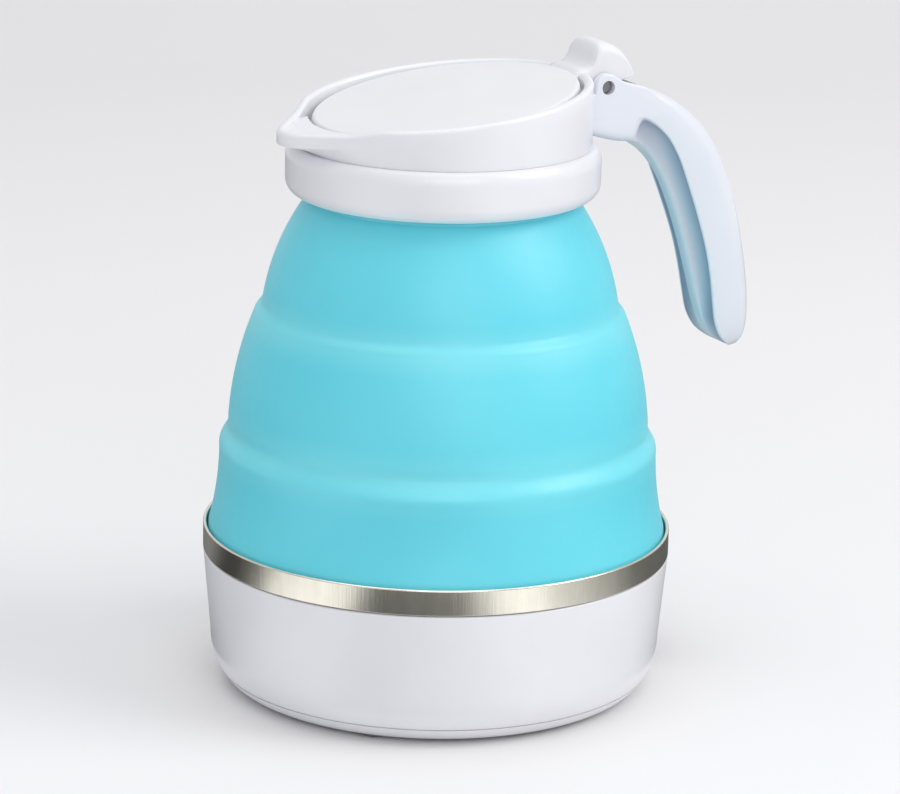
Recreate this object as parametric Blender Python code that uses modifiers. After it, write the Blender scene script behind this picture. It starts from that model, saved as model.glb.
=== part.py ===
"""Collapsible travel kettle: heated base, folding silicone body, head with spout and handle, hinged lid.

The underside of the bottom cover is at z = 0, and the feet stand a little below it. The turned pieces share
the Z axis, +X points to the handle and -X to the spout. Lengths are in metres and angles in radians.
"""

from math import acos, atan, atan2, cos, pi, radians, sin, sqrt

import bmesh
import bpy
from mathutils import Matrix, Vector

# Fits and how finely round pieces are divided
CLEARANCE = 0.0003
OVERRUN = 0.0020
MERGE_DISTANCE = 0.00001
TURN_STEPS = 36
SMALL_STEPS = 12

# Base shell
BASE_RADIUS = 0.0602
BASE_TOP = 0.0349
BASE_WALL = 0.0022
BASE_EDGE = 0.0004
SHELF_THICKNESS = 0.0022
BASE_TAPER = 0.0019
CORNER_HEIGHT = 0.0130
CORNER_WIDTH = 0.0083
CORNER_RADIUS = BASE_RADIUS - BASE_TAPER
UNDERSIDE_RADIUS = CORNER_RADIUS - CORNER_WIDTH
SEAM_HEIGHT = 0.0039

# Bottom cover, its screws and the feet
COVER_WALL = 0.0022
COVER_LIP_TOP = 0.0070
COVER_LIP_WALL = 0.0018
FASTENER_INSET = 0.0035
FASTENER_CIRCLE = UNDERSIDE_RADIUS - FASTENER_INSET
COVER_SCREW_ANGLES = (radians(90), radians(160), radians(200), radians(270))
SCREW_SHANK = 0.0013
SCREW_HEAD = 0.0028
SCREW_HEAD_HEIGHT = 0.0010
SCREW_LENGTH = 0.0095
BOSS_RADIUS = 0.0032
BOSS_TOP = 0.0140
BOSS_RIB = 0.0016
FOOT_ANGLES = (radians(45), radians(135), radians(225), radians(315))
FOOT_RADIUS = 0.0045
FOOT_PROUD = 0.0008
FOOT_SINK = 0.0009

# Steel band between the base and the silicone
BAND_PROUD = 0.0001
BAND_RADIUS = BASE_RADIUS + BAND_PROUD
BAND_WALL = 0.0009
BAND_HEIGHT = 0.0066
BAND_FLANGE = 0.0007

# Pan, its studs and nuts
PAN_INSET = 0.0069
PAN_RADIUS = BAND_RADIUS - PAN_INSET
PAN_SHEET = 0.0006
PAN_DROP = 0.0079
PAN_FLOOR = BASE_TOP - PAN_DROP
PAN_CORNER = 0.0060
PAN_FLANGE = 0.0029
PAN_FLANGE_RADIUS = PAN_RADIUS + PAN_FLANGE
STUD_ANGLES = (radians(60), radians(180), radians(300))
STUD_INSET = 0.0094
STUD_CIRCLE = PAN_RADIUS - STUD_INSET
STUD_RADIUS = 0.00175
STUD_END = 0.0012
LUG_DROP = 0.0080
LUG_THICKNESS = 0.0025
LUG_WIDTH = 0.0100
LUG_END = 0.0045
LUG_RIB = 0.0020
LUG_RIB_DROP = 0.0060
NUT_RADIUS = 0.0040
NUT_HEIGHT = 0.0032

# Silicone body: three tiers, joined by two shoulders where it folds. Each stands on the one below
SILICONE_WALL = 0.0022
FOLD_WALL = 0.0012
BEAD_RADIUS = BAND_RADIUS - BAND_WALL - CLEARANCE
BEAD_HEIGHT = 0.0024
TIER_ONE_INSET = 0.0014
TIER_ONE_TAPER = 0.0026
TIER_ONE_RISE = 0.0177
TIER_ONE_BULGE = -0.0005
TIER_ONE_FOOT_RADIUS = BAND_RADIUS - TIER_ONE_INSET
TIER_ONE_FOOT = BASE_TOP + BAND_HEIGHT
TIER_ONE_TOP_RADIUS = TIER_ONE_FOOT_RADIUS - TIER_ONE_TAPER
TIER_ONE_TOP = TIER_ONE_FOOT + TIER_ONE_RISE
FOLD_ONE_STEP = 0.0025
FOLD_ONE_RISE = 0.0124
TIER_TWO_TAPER = 0.0061
TIER_TWO_RISE = 0.0255
TIER_TWO_BULGE = 0.0009
TIER_TWO_FOOT_RADIUS = TIER_ONE_TOP_RADIUS - FOLD_ONE_STEP
TIER_TWO_FOOT = TIER_ONE_TOP + FOLD_ONE_RISE
TIER_TWO_TOP_RADIUS = TIER_TWO_FOOT_RADIUS - TIER_TWO_TAPER
TIER_TWO_TOP = TIER_TWO_FOOT + TIER_TWO_RISE
FOLD_TWO_STEP = 0.0023
FOLD_TWO_RISE = 0.0034
TIER_THREE_TAPER = 0.0109
TIER_THREE_RISE = 0.0265
TIER_THREE_BULGE = 0.0016
TIER_THREE_FOOT_RADIUS = TIER_TWO_TOP_RADIUS - FOLD_TWO_STEP
TIER_THREE_FOOT = TIER_TWO_TOP + FOLD_TWO_RISE
TIER_THREE_TOP_RADIUS = TIER_THREE_FOOT_RADIUS - TIER_THREE_TAPER
TIER_THREE_TOP = TIER_THREE_FOOT + TIER_THREE_RISE
SHOULDER_SAG = 0.0005
NECK_BEAD_PROUD = 0.0025
NECK_BEAD_RADIUS = TIER_THREE_TOP_RADIUS + NECK_BEAD_PROUD
NECK_BEAD_HEIGHT = 0.0024

# Collar and the ring that holds the silicone in it
COLLAR_WALL = 0.0030
COLLAR_STAND = 0.0012
COLLAR_HEIGHT = 0.0130
COLLAR_RADIUS = NECK_BEAD_RADIUS + COLLAR_WALL
COLLAR_BOTTOM = TIER_THREE_TOP + COLLAR_STAND
COLLAR_TOP = COLLAR_BOTTOM + COLLAR_HEIGHT
COLLAR_LIP = 0.0020
COLLAR_FOOT_ROUND = 0.0040
COLLAR_SHOULDER_WIDTH = 0.0021
COLLAR_SHOULDER_HEIGHT = 0.0035
NECK_RING_WALL = 0.0018
NECK_RING_DROP = 0.0057
NECK_FLANGE = 0.0020
NECK_TUBE_WALL = 0.0024

# Rim with the spout, cut on a slant that rises to the handle
RIM_INSET = 0.0025
RIM_RADIUS = COLLAR_RADIUS - RIM_INSET
RIM_WALL = 0.0025
RIM_LEDGE = 0.0018
RIM_BORE = RIM_RADIUS - RIM_WALL - RIM_LEDGE
RIM_STAND = 0.0125
RIM_HEIGHT = COLLAR_TOP + RIM_STAND
RIM_SLOPE = 0.121
RIM_EDGE = 0.0011
RIM_SPIGOT = 0.0045
SPOUT_LENGTH = 0.0085
SPOUT_REACH = RIM_RADIUS + SPOUT_LENGTH
SPOUT_TIP_RADIUS = 0.0070
SPOUT_STEP = 0.0015
SPOUT_STEP_START = 0.0230
SPOUT_STEP_LENGTH = 0.0090
SPOUT_LIP = 0.0030
SPOUT_CHUTE_DEPTH = 0.0010
SPOUT_CHUTE_SLOPE = 4.0
SPOUT_HALF_ANGLE = radians(48)
SPOUT_DIVISIONS = 24
RIM_DIVISIONS = 34

# Lid
LID_GAP = 0.0012
LID_RADIUS = RIM_RADIUS - RIM_WALL - LID_GAP
LID_CENTRE = 0.0004
LID_SINK = 0.0005
LID_HEIGHT = RIM_HEIGHT - LID_SINK
LID_SLOPE = 0.145
LID_THICKNESS = 0.0030
LID_SKIN = 0.0016
LID_EDGE = 0.0010
LINER_GAP = 0.0048
LINER_RADIUS = RIM_BORE - LINER_GAP
LINER_DEPTH = 0.0090
LINER_WALL = 0.0016
LINER_GROOVE = 0.0020
LINER_GROOVE_DEPTH = 0.0010
GASKET_PROUD = 0.0018
GASKET_RADIUS = LINER_RADIUS + GASKET_PROUD
LID_SEAL_DEPTH = 0.0056

# Lid hinge and thumb tab
PIN_OUT = 0.0039
PIN_RISE = 0.0005
PIN_X = RIM_RADIUS + PIN_OUT
PIN_HEIGHT = RIM_HEIGHT + PIN_RISE
PIN_RADIUS = 0.0015
PIN_RECESS = 0.0015
KNUCKLE_RADIUS = 0.0036
KNUCKLE_HALF_WIDTH = 0.0077
TAB_HEIGHT = 0.0110
TAB_BACK = 0.0091
TAB_ROUND = 0.0055
TAB_SHARES = (
    (1.00, 0.23), (0.92, 0.44), (0.79, 0.64), (0.59, 0.84), (0.30, 0.96), (0.05, 1.00), (-0.10, 0.96),
    (-0.20, 0.84), (-0.27, 0.68), (-0.36, 0.54), (-0.52, 0.44), (-0.74, 0.39),
)
LID_OPEN = radians(70)

# Handle: a broad rounded back over a narrow inner ridge, with a cove between them along each side
HANDLE_SINK = 0.0005
HANDLE_ROOT = RIM_RADIUS - HANDLE_SINK
HANDLE_REACH = 0.0522
HANDLE_CREST = 0.0003
HANDLE_TOP = RIM_HEIGHT + HANDLE_CREST
HANDLE_STAND = 0.0006
HANDLE_ROOT_BOTTOM = COLLAR_TOP + HANDLE_STAND
HANDLE_FALL = 0.0613
HANDLE_WIDTH = 0.0210
HANDLE_RIDGE_WIDTH = 0.0050
HANDLE_EDGE = 0.0007
HANDLE_SQUARENESS = 2.7
HANDLE_BACK_STEPS = 5
HANDLE_COVE_STEPS = 4
HANDLE_BACK_SHARES = (
    (-0.030, 0.114), (0.177, 0.072), (0.294, 0.114), (0.332, 0.145), (0.371, 0.187), (0.437, 0.277),
    (0.517, 0.434), (0.614, 0.717), (0.711, 1.026), (0.797, 1.139), (0.861, 1.261), (0.908, 1.388),
    (0.945, 1.518), (0.977, 1.650), (0.996, 1.765), (1.000, 1.866), (0.987, 1.940), (0.968, 1.978),
)
HANDLE_FRONT_SHARES = (
    (-0.030, 0.951), (0.139, 1.032), (0.234, 1.043), (0.265, 1.052), (0.295, 1.060), (0.344, 1.083),
    (0.401, 1.120), (0.461, 1.183), (0.517, 1.265), (0.568, 1.366), (0.611, 1.468), (0.649, 1.571),
    (0.684, 1.676), (0.720, 1.779), (0.762, 1.868), (0.815, 1.936), (0.870, 1.975), (0.905, 1.990),
)
HANDLE_WIDTH_SHARES = (
    1.000, 1.000, 1.000, 1.000, 1.000, 1.000, 1.000, 0.990, 0.970, 0.940, 0.910, 0.880, 0.850, 0.810,
    0.770, 0.690, 0.540, 0.360,
)
HANDLE_COVE_SHARES = (
    1.000, 1.000, 1.000, 0.520, 0.537, 0.577, 0.644, 0.737, 0.815, 0.842, 0.844, 0.840, 0.855, 0.900,
    0.965, 1.000, 1.000, 1.000,
)
HANDLE_TIP_SHARE = 0.55
EAR_RADIUS = 0.0035
EAR_WALL = 0.0025
SLOT_BACK = 0.0112
SLOT_DEPTH = 0.0084
SLOT_FLOOR = PIN_HEIGHT - SLOT_DEPTH
HANDLE_SCREW_INSET = 0.0045
HANDLE_SCREW_SPREAD = HANDLE_WIDTH / 2 - HANDLE_SCREW_INSET
HANDLE_SCREW_RISE = 0.0025
HANDLE_SCREW_HEIGHT = COLLAR_TOP + HANDLE_SCREW_RISE
HANDLE_SCREW_SHANK = 0.0011
HANDLE_SCREW_HEAD = 0.0021
HANDLE_SCREW_HEAD_HEIGHT = 0.0012
HANDLE_SCREW_LENGTH = 0.0105
HANDLE_SCREW_SEAT = 0.0008

# Appliance inlet
INLET_HEIGHT = 0.0160
INLET_WIDTH = 0.0240
INLET_OPENING = 0.0165
INLET_CHAMFER = 0.0045
INLET_WALL = 0.0012
INLET_DEPTH = 0.0160
INLET_BACK = 0.0020
INLET_FLANGE = 0.0018
INLET_FLANGE_MARGIN = 0.0024
INLET_INSET = 0.0060
INLET_SEAT = BASE_RADIUS - INLET_INSET
INLET_SEAT_WALL = 0.0030
INLET_SEAT_MARGIN = 0.0010
BLADE_WIDTH = 0.0040
BLADE_THICKNESS = 0.0020
BLADE_SPREAD = 0.0070
BLADE_OFFSET = 0.0020
BLADE_SETBACK = 0.0050
BLADE_TAIL = 0.0080

# Rocker switch
SWITCH_ANGLE = radians(35)
SWITCH_HEIGHT = 0.0165
SWITCH_INSET = 0.0040
SWITCH_FACE = BASE_RADIUS - SWITCH_INSET
SWITCH_FRAME_WIDTH = 0.0150
SWITCH_FRAME_HEIGHT = 0.0210
SWITCH_FRAME = 0.0018
SWITCH_BODY_WIDTH = 0.0130
SWITCH_BODY_HEIGHT = 0.0190
SWITCH_BODY_DEPTH = 0.0140
SWITCH_WINDOW_WIDTH = 0.0094
SWITCH_WINDOW_HEIGHT = 0.0160
SWITCH_WINDOW_DEPTH = 0.0080
SWITCH_SEAT_WALL = 0.0022
ROCKER_WIDTH = 0.0088
ROCKER_HEIGHT = 0.0142
ROCKER_DEPTH = 0.0046
ROCKER_DIP = 0.0012
ROCKER_PIVOT_DEPTH = 0.0022
ROCKER_PIVOT_RADIUS = 0.0010
ROCKER_PIVOT_END = 0.0010
ROCKER_TILT = radians(8)
TERMINAL_SPREAD = 0.0030
TERMINAL_DROP = 0.0045
TERMINAL_WIDTH = 0.0040
TERMINAL_THICKNESS = 0.0008
TERMINAL_LENGTH = 0.0062

# Indicator lamp window
LENS_ANGLE = radians(21.5)
LENS_HEIGHT = 0.0165
LENS_RADIUS = 0.0019
LENS_FLANGE_RADIUS = 0.0028
LENS_FLANGE = 0.0008
LENS_PROUD = 0.0004

# Heater, thermostat and fuse
PLATE_INSET = 0.0100
PLATE_RADIUS = STUD_CIRCLE - PLATE_INSET
PLATE_THICKNESS = 0.0025
ELEMENT_INSET = 0.0080
ELEMENT_CIRCLE = PLATE_RADIUS - ELEMENT_INSET
ELEMENT_RADIUS = 0.00325
ELEMENT_GAP_ANGLE = radians(25)
ELEMENT_POINTS = 25
ELEMENT_PIN_RADIUS = 0.0010
ELEMENT_PIN_LENGTH = 0.0055
THERMOSTAT_RADIUS = 0.0085
THERMOSTAT_HEIGHT = 0.0090
THERMOSTAT_EAR = 0.0120
THERMOSTAT_EAR_WIDTH = 0.0060
THERMOSTAT_EAR_SHEET = 0.0010
THERMOSTAT_TAB = 0.0055
FUSE_RADIUS = 0.0020
FUSE_LENGTH = 0.0110
FUSE_X = -0.0155
WIRE_RADIUS = 0.0010
WIRE_POINTS = 3
WIRE_BEND = 0.0035
WIRE_STEP = 0.0025


def new_collection(name):
    group = bpy.data.collections.new(name)
    bpy.context.scene.collection.children.link(group)
    return group


def clear_scene():
    for obj in list(bpy.data.objects):
        bpy.data.objects.remove(obj, do_unlink=True)


clear_scene()
parts = new_collection("collapsible_kettle")
cutters = new_collection("cutters")


def new_material(name, colour, roughness, metallic=0.0):
    material = bpy.data.materials.new(name)
    material.use_nodes = True
    shader = material.node_tree.nodes["Principled BSDF"]
    shader.inputs["Base Color"].default_value = (*colour, 1.0)
    shader.inputs["Roughness"].default_value = roughness
    shader.inputs["Metallic"].default_value = metallic
    return material


white_plastic = new_material("white_plastic", (0.78, 0.78, 0.80), 0.32)
cool_white_plastic = new_material("cool_white_plastic", (0.70, 0.76, 0.84), 0.30)
satin_plastic = new_material("satin_plastic", (0.80, 0.80, 0.82), 0.45)
blue_silicone = new_material("blue_silicone", (0.15, 0.67, 0.80), 0.55)
clear_silicone = new_material("clear_silicone", (0.75, 0.75, 0.75), 0.50)
brushed_steel = new_material("brushed_steel", (0.60, 0.56, 0.50), 0.28, 1.0)
plain_steel = new_material("plain_steel", (0.62, 0.62, 0.63), 0.35, 1.0)
aluminium = new_material("aluminium", (0.70, 0.71, 0.72), 0.40, 1.0)
brass = new_material("brass", (0.78, 0.60, 0.32), 0.30, 1.0)
black_plastic = new_material("black_plastic", (0.02, 0.02, 0.02), 0.40)
grey_rubber = new_material("grey_rubber", (0.25, 0.25, 0.26), 0.70)
red_lens = new_material("red_lens", (0.75, 0.05, 0.04), 0.15)
brown_sleeve = new_material("brown_sleeve", (0.20, 0.09, 0.04), 0.45)
blue_sleeve = new_material("blue_sleeve", (0.03, 0.10, 0.45), 0.45)
green_sleeve = new_material("green_sleeve", (0.10, 0.40, 0.10), 0.45)
white_sleeve = new_material("white_sleeve", (0.75, 0.74, 0.70), 0.60)


def place(name, data, material, group=None):
    """Link an object to the parts, or to the group given, and give it its material."""
    obj = bpy.data.objects.new(name, data)
    (group or parts).objects.link(obj)
    if material:
        data.materials.append(material)
    if group is cutters:
        obj.hide_render = True
        obj.display_type = "WIRE"
    return obj


def mesh_from(bm, name):
    bmesh.ops.recalc_face_normals(bm, faces=bm.faces)
    mesh = bpy.data.meshes.new(name)
    bm.to_mesh(mesh)
    bm.free()
    return mesh


def block(name, low, high, material=None, group=None, matrix=None):
    """A box between two corners, moved by a matrix where one is given."""
    bm = bmesh.new()
    bmesh.ops.create_cube(bm, size=1.0)
    size = [h - l for l, h in zip(low, high)]
    centre = [(h + l) / 2 for l, h in zip(low, high)]
    placed = Matrix.Translation(centre) @ Matrix.Diagonal((*size, 1.0))
    bmesh.ops.transform(bm, matrix=placed, verts=bm.verts)
    mesh = mesh_from(bm, name)
    if matrix:
        mesh.transform(matrix)
    return place(name, mesh, material, group)


def rod(name, radius, low, high, at=(0.0, 0.0), material=None, group=None, matrix=None, sides=SMALL_STEPS):
    """An upright cylinder between two heights, moved by a matrix where one is given."""
    bm = bmesh.new()
    bmesh.ops.create_cone(
        bm, cap_ends=True, segments=sides, radius1=radius, radius2=radius, depth=high - low,
        matrix=Matrix.Translation((at[0], at[1], (low + high) / 2)),
    )
    mesh = mesh_from(bm, name)
    mesh.shade_smooth()
    mesh.set_sharp_from_angle(angle=radians(30))
    if matrix:
        mesh.transform(matrix)
    return place(name, mesh, material, group)


def turned(name, outline, material=None, group=None, steps=TURN_STEPS, open_at_axis=False):
    """A profile of (radius, height) points turned round Z. It runs down its outer side."""
    mesh = bpy.data.meshes.new(name)
    count = len(outline)
    edges = [(i, i + 1) for i in range(count - 1)]
    if not open_at_axis:
        edges.append((count - 1, 0))
    mesh.from_pydata([(r, 0.0, z) for r, z in outline], edges, [])
    obj = place(name, mesh, material, group)
    screw = obj.modifiers.new("turn", "SCREW")
    screw.axis = "Z"
    screw.steps = steps
    screw.render_steps = steps
    screw.use_merge_vertices = True
    screw.merge_threshold = MERGE_DISTANCE
    screw.use_smooth_shade = True
    return obj


def flat_prism(name, outline, low, high, matrix, material=None, group=None):
    """A flat outline with a thickness from low to high, as a welded mesh moved by a matrix."""
    curve = bpy.data.curves.new(name + "_outline", "CURVE")
    curve.dimensions = "2D"
    curve.fill_mode = "BOTH"
    curve.extrude = (high - low) / 2
    spline = curve.splines.new("POLY")
    spline.points.add(len(outline) - 1)
    for point, (u, v) in zip(spline.points, outline):
        point.co = (u, v, 0.0, 1.0)
    spline.use_cyclic_u = True
    guide = bpy.data.objects.new(name + "_outline", curve)
    cutters.objects.link(guide)
    bpy.context.view_layer.update()
    mesh = bpy.data.meshes.new_from_object(guide.evaluated_get(bpy.context.evaluated_depsgraph_get()))
    mesh.name = name
    bpy.data.objects.remove(guide, do_unlink=True)
    bm = bmesh.new()
    bm.from_mesh(mesh)
    bmesh.ops.remove_doubles(bm, verts=bm.verts, dist=MERGE_DISTANCE)
    bmesh.ops.recalc_face_normals(bm, faces=bm.faces)
    bm.to_mesh(mesh)
    bm.free()
    mesh.materials.clear()
    mesh.transform(matrix @ Matrix.Translation((0.0, 0.0, (low + high) / 2)))
    return place(name, mesh, material, group)


def loft(name, rings, material=None, group=None, looped=False):
    """A skin through rings with the same number of points, capped at both ends or joined end to end."""
    bm = bmesh.new()
    rows = [[bm.verts.new(point) for point in ring] for ring in rings]
    pairs = list(zip(rows, rows[1:]))
    if looped:
        pairs.append((rows[-1], rows[0]))
    for first, second in pairs:
        for i in range(len(first)):
            j = (i + 1) % len(first)
            bm.faces.new((first[i], first[j], second[j], second[i]))
    if not looped:
        bm.faces.new(rows[0])
        bm.faces.new(list(reversed(rows[-1])))
    mesh = mesh_from(bm, name)
    mesh.shade_smooth()
    mesh.set_sharp_from_angle(angle=radians(40))
    return place(name, mesh, material, group)


def combine(obj, other, operation):
    boolean = obj.modifiers.new(other.name, "BOOLEAN")
    boolean.operation = operation
    boolean.solver = "EXACT"
    boolean.object = other
    return obj


def cut(obj, *others):
    for other in others:
        combine(obj, other, "DIFFERENCE")
    return obj


def join(obj, *others):
    for other in others:
        combine(obj, other, "UNION")
    return obj


def swap_to_xz():
    """Takes a flat outline's plane to XZ, with its thickness along Y."""
    return Matrix(((1, 0, 0, 0), (0, 0, 1, 0), (0, 1, 0, 0), (0, 0, 0, 1)))


def swap_to_yz():
    """Takes a flat outline's plane to YZ, with its thickness along X."""
    return Matrix(((0, 0, 1, 0), (1, 0, 0, 0), (0, 1, 0, 0), (0, 0, 0, 1)))


def turned_about_z(angle):
    return Matrix.Rotation(angle, 4, "Z")


def on_circle(radius, angle):
    return radius * cos(angle), radius * sin(angle)


def bowed(start, end, bulge, count):
    """Points from start to end along a shallow arc that swells by bulge to the right of its way up."""
    along = Vector(end) - Vector(start)
    side = Vector((along.y, -along.x)).normalized()
    points = []
    for i in range(count + 1):
        t = i / count
        points.append(tuple(Vector(start) + along * t + side * (bulge * 4 * t * (1 - t))))
    return points


def quarter(centre, half_width, half_height, start, end, count):
    """Points of an ellipse's arc round a centre, from one angle to another."""
    points = []
    for i in range(count + 1):
        a = start + (end - start) * i / count
        points.append((centre[0] + half_width * cos(a), centre[1] + half_height * sin(a)))
    return points


def smooth_step(value):
    t = min(max(value, 0.0), 1.0)
    return t * t * (3 - 2 * t)


def base_corner_radius(height):
    """Outer radius of the base's rounded lower corner at a height."""
    share = (CORNER_HEIGHT - height) / CORNER_HEIGHT
    return UNDERSIDE_RADIUS + (CORNER_RADIUS - UNDERSIDE_RADIUS) * sqrt(1 - share * share)


def base_corner(top, bottom, count):
    """Points down the base's rounded corner, from one height to another."""
    first = acos((CORNER_HEIGHT - top) / CORNER_HEIGHT)
    last = acos((CORNER_HEIGHT - bottom) / CORNER_HEIGHT)
    points = []
    for i in range(count + 1):
        a = first + (last - first) * i / count
        height = CORNER_HEIGHT * (1 - cos(a))
        points.append((UNDERSIDE_RADIUS + (CORNER_RADIUS - UNDERSIDE_RADIUS) * sin(a), height))
    return points


shell_bottom = SEAM_HEIGHT + CLEARANCE
shelf_bore = PAN_RADIUS + CLEARANCE
band_bottom = BASE_TOP + CLEARANCE
band_top = band_bottom + BAND_HEIGHT
bead_bottom = band_bottom + BAND_FLANGE + CLEARANCE
bead_top = bead_bottom + BEAD_HEIGHT
pan_flange_bottom = bead_top + CLEARANCE
pan_top = pan_flange_bottom + PAN_SHEET
lug_top = PAN_FLOOR - LUG_DROP
lug_bottom = lug_top - LUG_THICKNESS
nut_top = lug_bottom - CLEARANCE
nut_bottom = nut_top - NUT_HEIGHT
plate_bottom = PAN_FLOOR - CLEARANCE - PLATE_THICKNESS
below_plate = plate_bottom - CLEARANCE
neck_bead_bottom = COLLAR_BOTTOM + COLLAR_LIP + CLEARANCE
neck_bead_top = neck_bead_bottom + NECK_BEAD_HEIGHT
neck_flange_bottom = neck_bead_top + CLEARANCE
rim_bottom = COLLAR_TOP + CLEARANCE
spigot_bottom = COLLAR_TOP - RIM_SPIGOT
collar_bore = NECK_BEAD_RADIUS + CLEARANCE
spigot_radius = NECK_BEAD_RADIUS - CLEARANCE
seat_radius = RIM_RADIUS - RIM_WALL - RIM_EDGE / 2 - CLEARANCE
inlet_face = INLET_SEAT + CLEARANCE + INLET_FLANGE


def base_outer(top):
    """The base's outer side, from the top down to the seam."""
    return [
        (BASE_RADIUS - BASE_EDGE, top),
        (BASE_RADIUS, top - BASE_EDGE),
        *base_corner(CORNER_HEIGHT, shell_bottom, 4),
    ]


def base_envelope():
    """What lies inside the middle of the base's wall."""
    half_wall = BASE_WALL / 2
    outline = [
        (0.0, BASE_TOP - half_wall), (BASE_RADIUS - half_wall, BASE_TOP - half_wall),
        (CORNER_RADIUS - half_wall, CORNER_HEIGHT),
        (base_corner_radius(shell_bottom) - half_wall, shell_bottom), (0.0, shell_bottom),
    ]
    return turned("base_envelope", outline, group=cutters, open_at_axis=True)


def seat_block(name, envelope, low, high, matrix):
    """A thickening inside the base's wall, trimmed to the base's outer form."""
    seat = block(name, low, high, group=cutters, matrix=matrix)
    return combine(seat, envelope, "INTERSECT")


def inlet_outline(margin):
    """The inlet's opening grown by a margin: a rectangle with its two upper corners cut off."""
    half = INLET_WIDTH / 2 + margin
    low = INLET_HEIGHT - INLET_OPENING / 2 - margin
    high = INLET_HEIGHT + INLET_OPENING / 2 + margin
    return [
        (-half, low), (half, low), (half, high - INLET_CHAMFER),
        (half - INLET_CHAMFER, high), (INLET_CHAMFER - half, high), (-half, high - INLET_CHAMFER),
    ]


def flange_limits(margin):
    """Half width, bottom and top of the inlet's flange, grown by a margin."""
    half = INLET_WIDTH / 2 + INLET_FLANGE_MARGIN + margin
    low = INLET_HEIGHT - INLET_OPENING / 2 - INLET_FLANGE_MARGIN - margin
    high = INLET_HEIGHT + INLET_OPENING / 2 + INLET_FLANGE_MARGIN + margin
    return half, low, high


def make_base_shell():
    inner_top = BASE_TOP - SHELF_THICKNESS
    outline = [
        *base_outer(BASE_TOP),
        (base_corner_radius(shell_bottom) - BASE_WALL, shell_bottom),
        (CORNER_RADIUS - BASE_WALL, CORNER_HEIGHT),
        (BASE_RADIUS - BASE_WALL, inner_top),
        (shelf_bore, inner_top),
        (shelf_bore, BASE_TOP),
    ]
    shell = turned("base_shell", outline, white_plastic)
    envelope = base_envelope()
    wall_middle = CORNER_RADIUS - BASE_WALL / 2
    for number, angle in enumerate(COVER_SCREW_ANGLES):
        spin = turned_about_z(angle)
        boss = rod(
            f"boss_{number}", BOSS_RADIUS, COVER_WALL + CLEARANCE, BOSS_TOP, (FASTENER_CIRCLE, 0.0),
            group=cutters, matrix=spin,
        )
        rib = block(
            f"boss_rib_{number}", (FASTENER_CIRCLE, -BOSS_RIB / 2, COVER_LIP_TOP + OVERRUN),
            (wall_middle, BOSS_RIB / 2, BOSS_TOP), group=cutters, matrix=spin,
        )
        hole = rod(
            f"boss_hole_{number}", SCREW_SHANK + CLEARANCE, 0.0, BOSS_TOP - BOSS_RIB, (FASTENER_CIRCLE, 0.0),
            group=cutters, matrix=spin,
        )
        join(shell, boss, rib)
        cut(shell, hole)
    for number, angle in enumerate(STUD_ANGLES):
        spin = turned_about_z(angle)
        lug = block(
            f"lug_{number}", (STUD_CIRCLE - LUG_END, -LUG_WIDTH / 2, lug_bottom),
            (wall_middle, LUG_WIDTH / 2, lug_top), group=cutters, matrix=spin,
        )
        rib = block(
            f"lug_rib_{number}",
            (STUD_CIRCLE + NUT_RADIUS + CLEARANCE, -LUG_RIB / 2, lug_bottom - LUG_RIB_DROP),
            (wall_middle, LUG_RIB / 2, lug_top - LUG_THICKNESS / 2), group=cutters, matrix=spin,
        )
        hole = rod(
            f"lug_hole_{number}", STUD_RADIUS + CLEARANCE, lug_bottom - OVERRUN, lug_top + OVERRUN,
            (STUD_CIRCLE, 0.0), group=cutters, matrix=spin,
        )
        join(shell, lug, rib)
        cut(shell, hole)
    cut_inlet_seat(shell, envelope)
    cut_switch_seat(shell, envelope)
    cut_lens_hole(shell)
    return shell


def cut_inlet_seat(shell, envelope):
    half, low, high = flange_limits(INLET_SEAT_MARGIN)
    seat = seat_block(
        "inlet_seat", envelope, (INLET_SEAT - INLET_SEAT_WALL, -half, low),
        (BASE_RADIUS, half, high), Matrix.Identity(4),
    )
    half, low, high = flange_limits(CLEARANCE)
    pocket = block(
        "inlet_pocket", (INLET_SEAT, -half, low), (BASE_RADIUS + OVERRUN, half, high), group=cutters,
    )
    opening = flat_prism(
        "inlet_hole", inlet_outline(INLET_WALL + CLEARANCE), INLET_SEAT - INLET_SEAT_WALL - OVERRUN,
        BASE_RADIUS, swap_to_yz(), group=cutters,
    )
    join(shell, seat)
    cut(shell, pocket, opening)


def cut_switch_seat(shell, envelope):
    spin = turned_about_z(SWITCH_ANGLE)
    seat_plane = SWITCH_FACE - SWITCH_FRAME - CLEARANCE
    half_width = SWITCH_FRAME_WIDTH / 2 + SWITCH_SEAT_WALL
    half_height = SWITCH_FRAME_HEIGHT / 2 + SWITCH_SEAT_WALL / 2
    seat = seat_block(
        "switch_seat", envelope, (seat_plane - SWITCH_SEAT_WALL, -half_width, SWITCH_HEIGHT - half_height),
        (BASE_RADIUS, half_width, SWITCH_HEIGHT + half_height), spin,
    )
    half_width = SWITCH_FRAME_WIDTH / 2 + CLEARANCE
    half_height = SWITCH_FRAME_HEIGHT / 2 + CLEARANCE
    pocket = block(
        "switch_pocket", (seat_plane, -half_width, SWITCH_HEIGHT - half_height),
        (BASE_RADIUS + OVERRUN, half_width, SWITCH_HEIGHT + half_height), group=cutters, matrix=spin,
    )
    half_width = SWITCH_BODY_WIDTH / 2 + CLEARANCE
    half_height = SWITCH_BODY_HEIGHT / 2 + CLEARANCE
    opening = block(
        "switch_hole", (seat_plane - SWITCH_SEAT_WALL - OVERRUN, -half_width, SWITCH_HEIGHT - half_height),
        (BASE_RADIUS, half_width, SWITCH_HEIGHT + half_height), group=cutters, matrix=spin,
    )
    join(shell, seat)
    cut(shell, pocket, opening)


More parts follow.
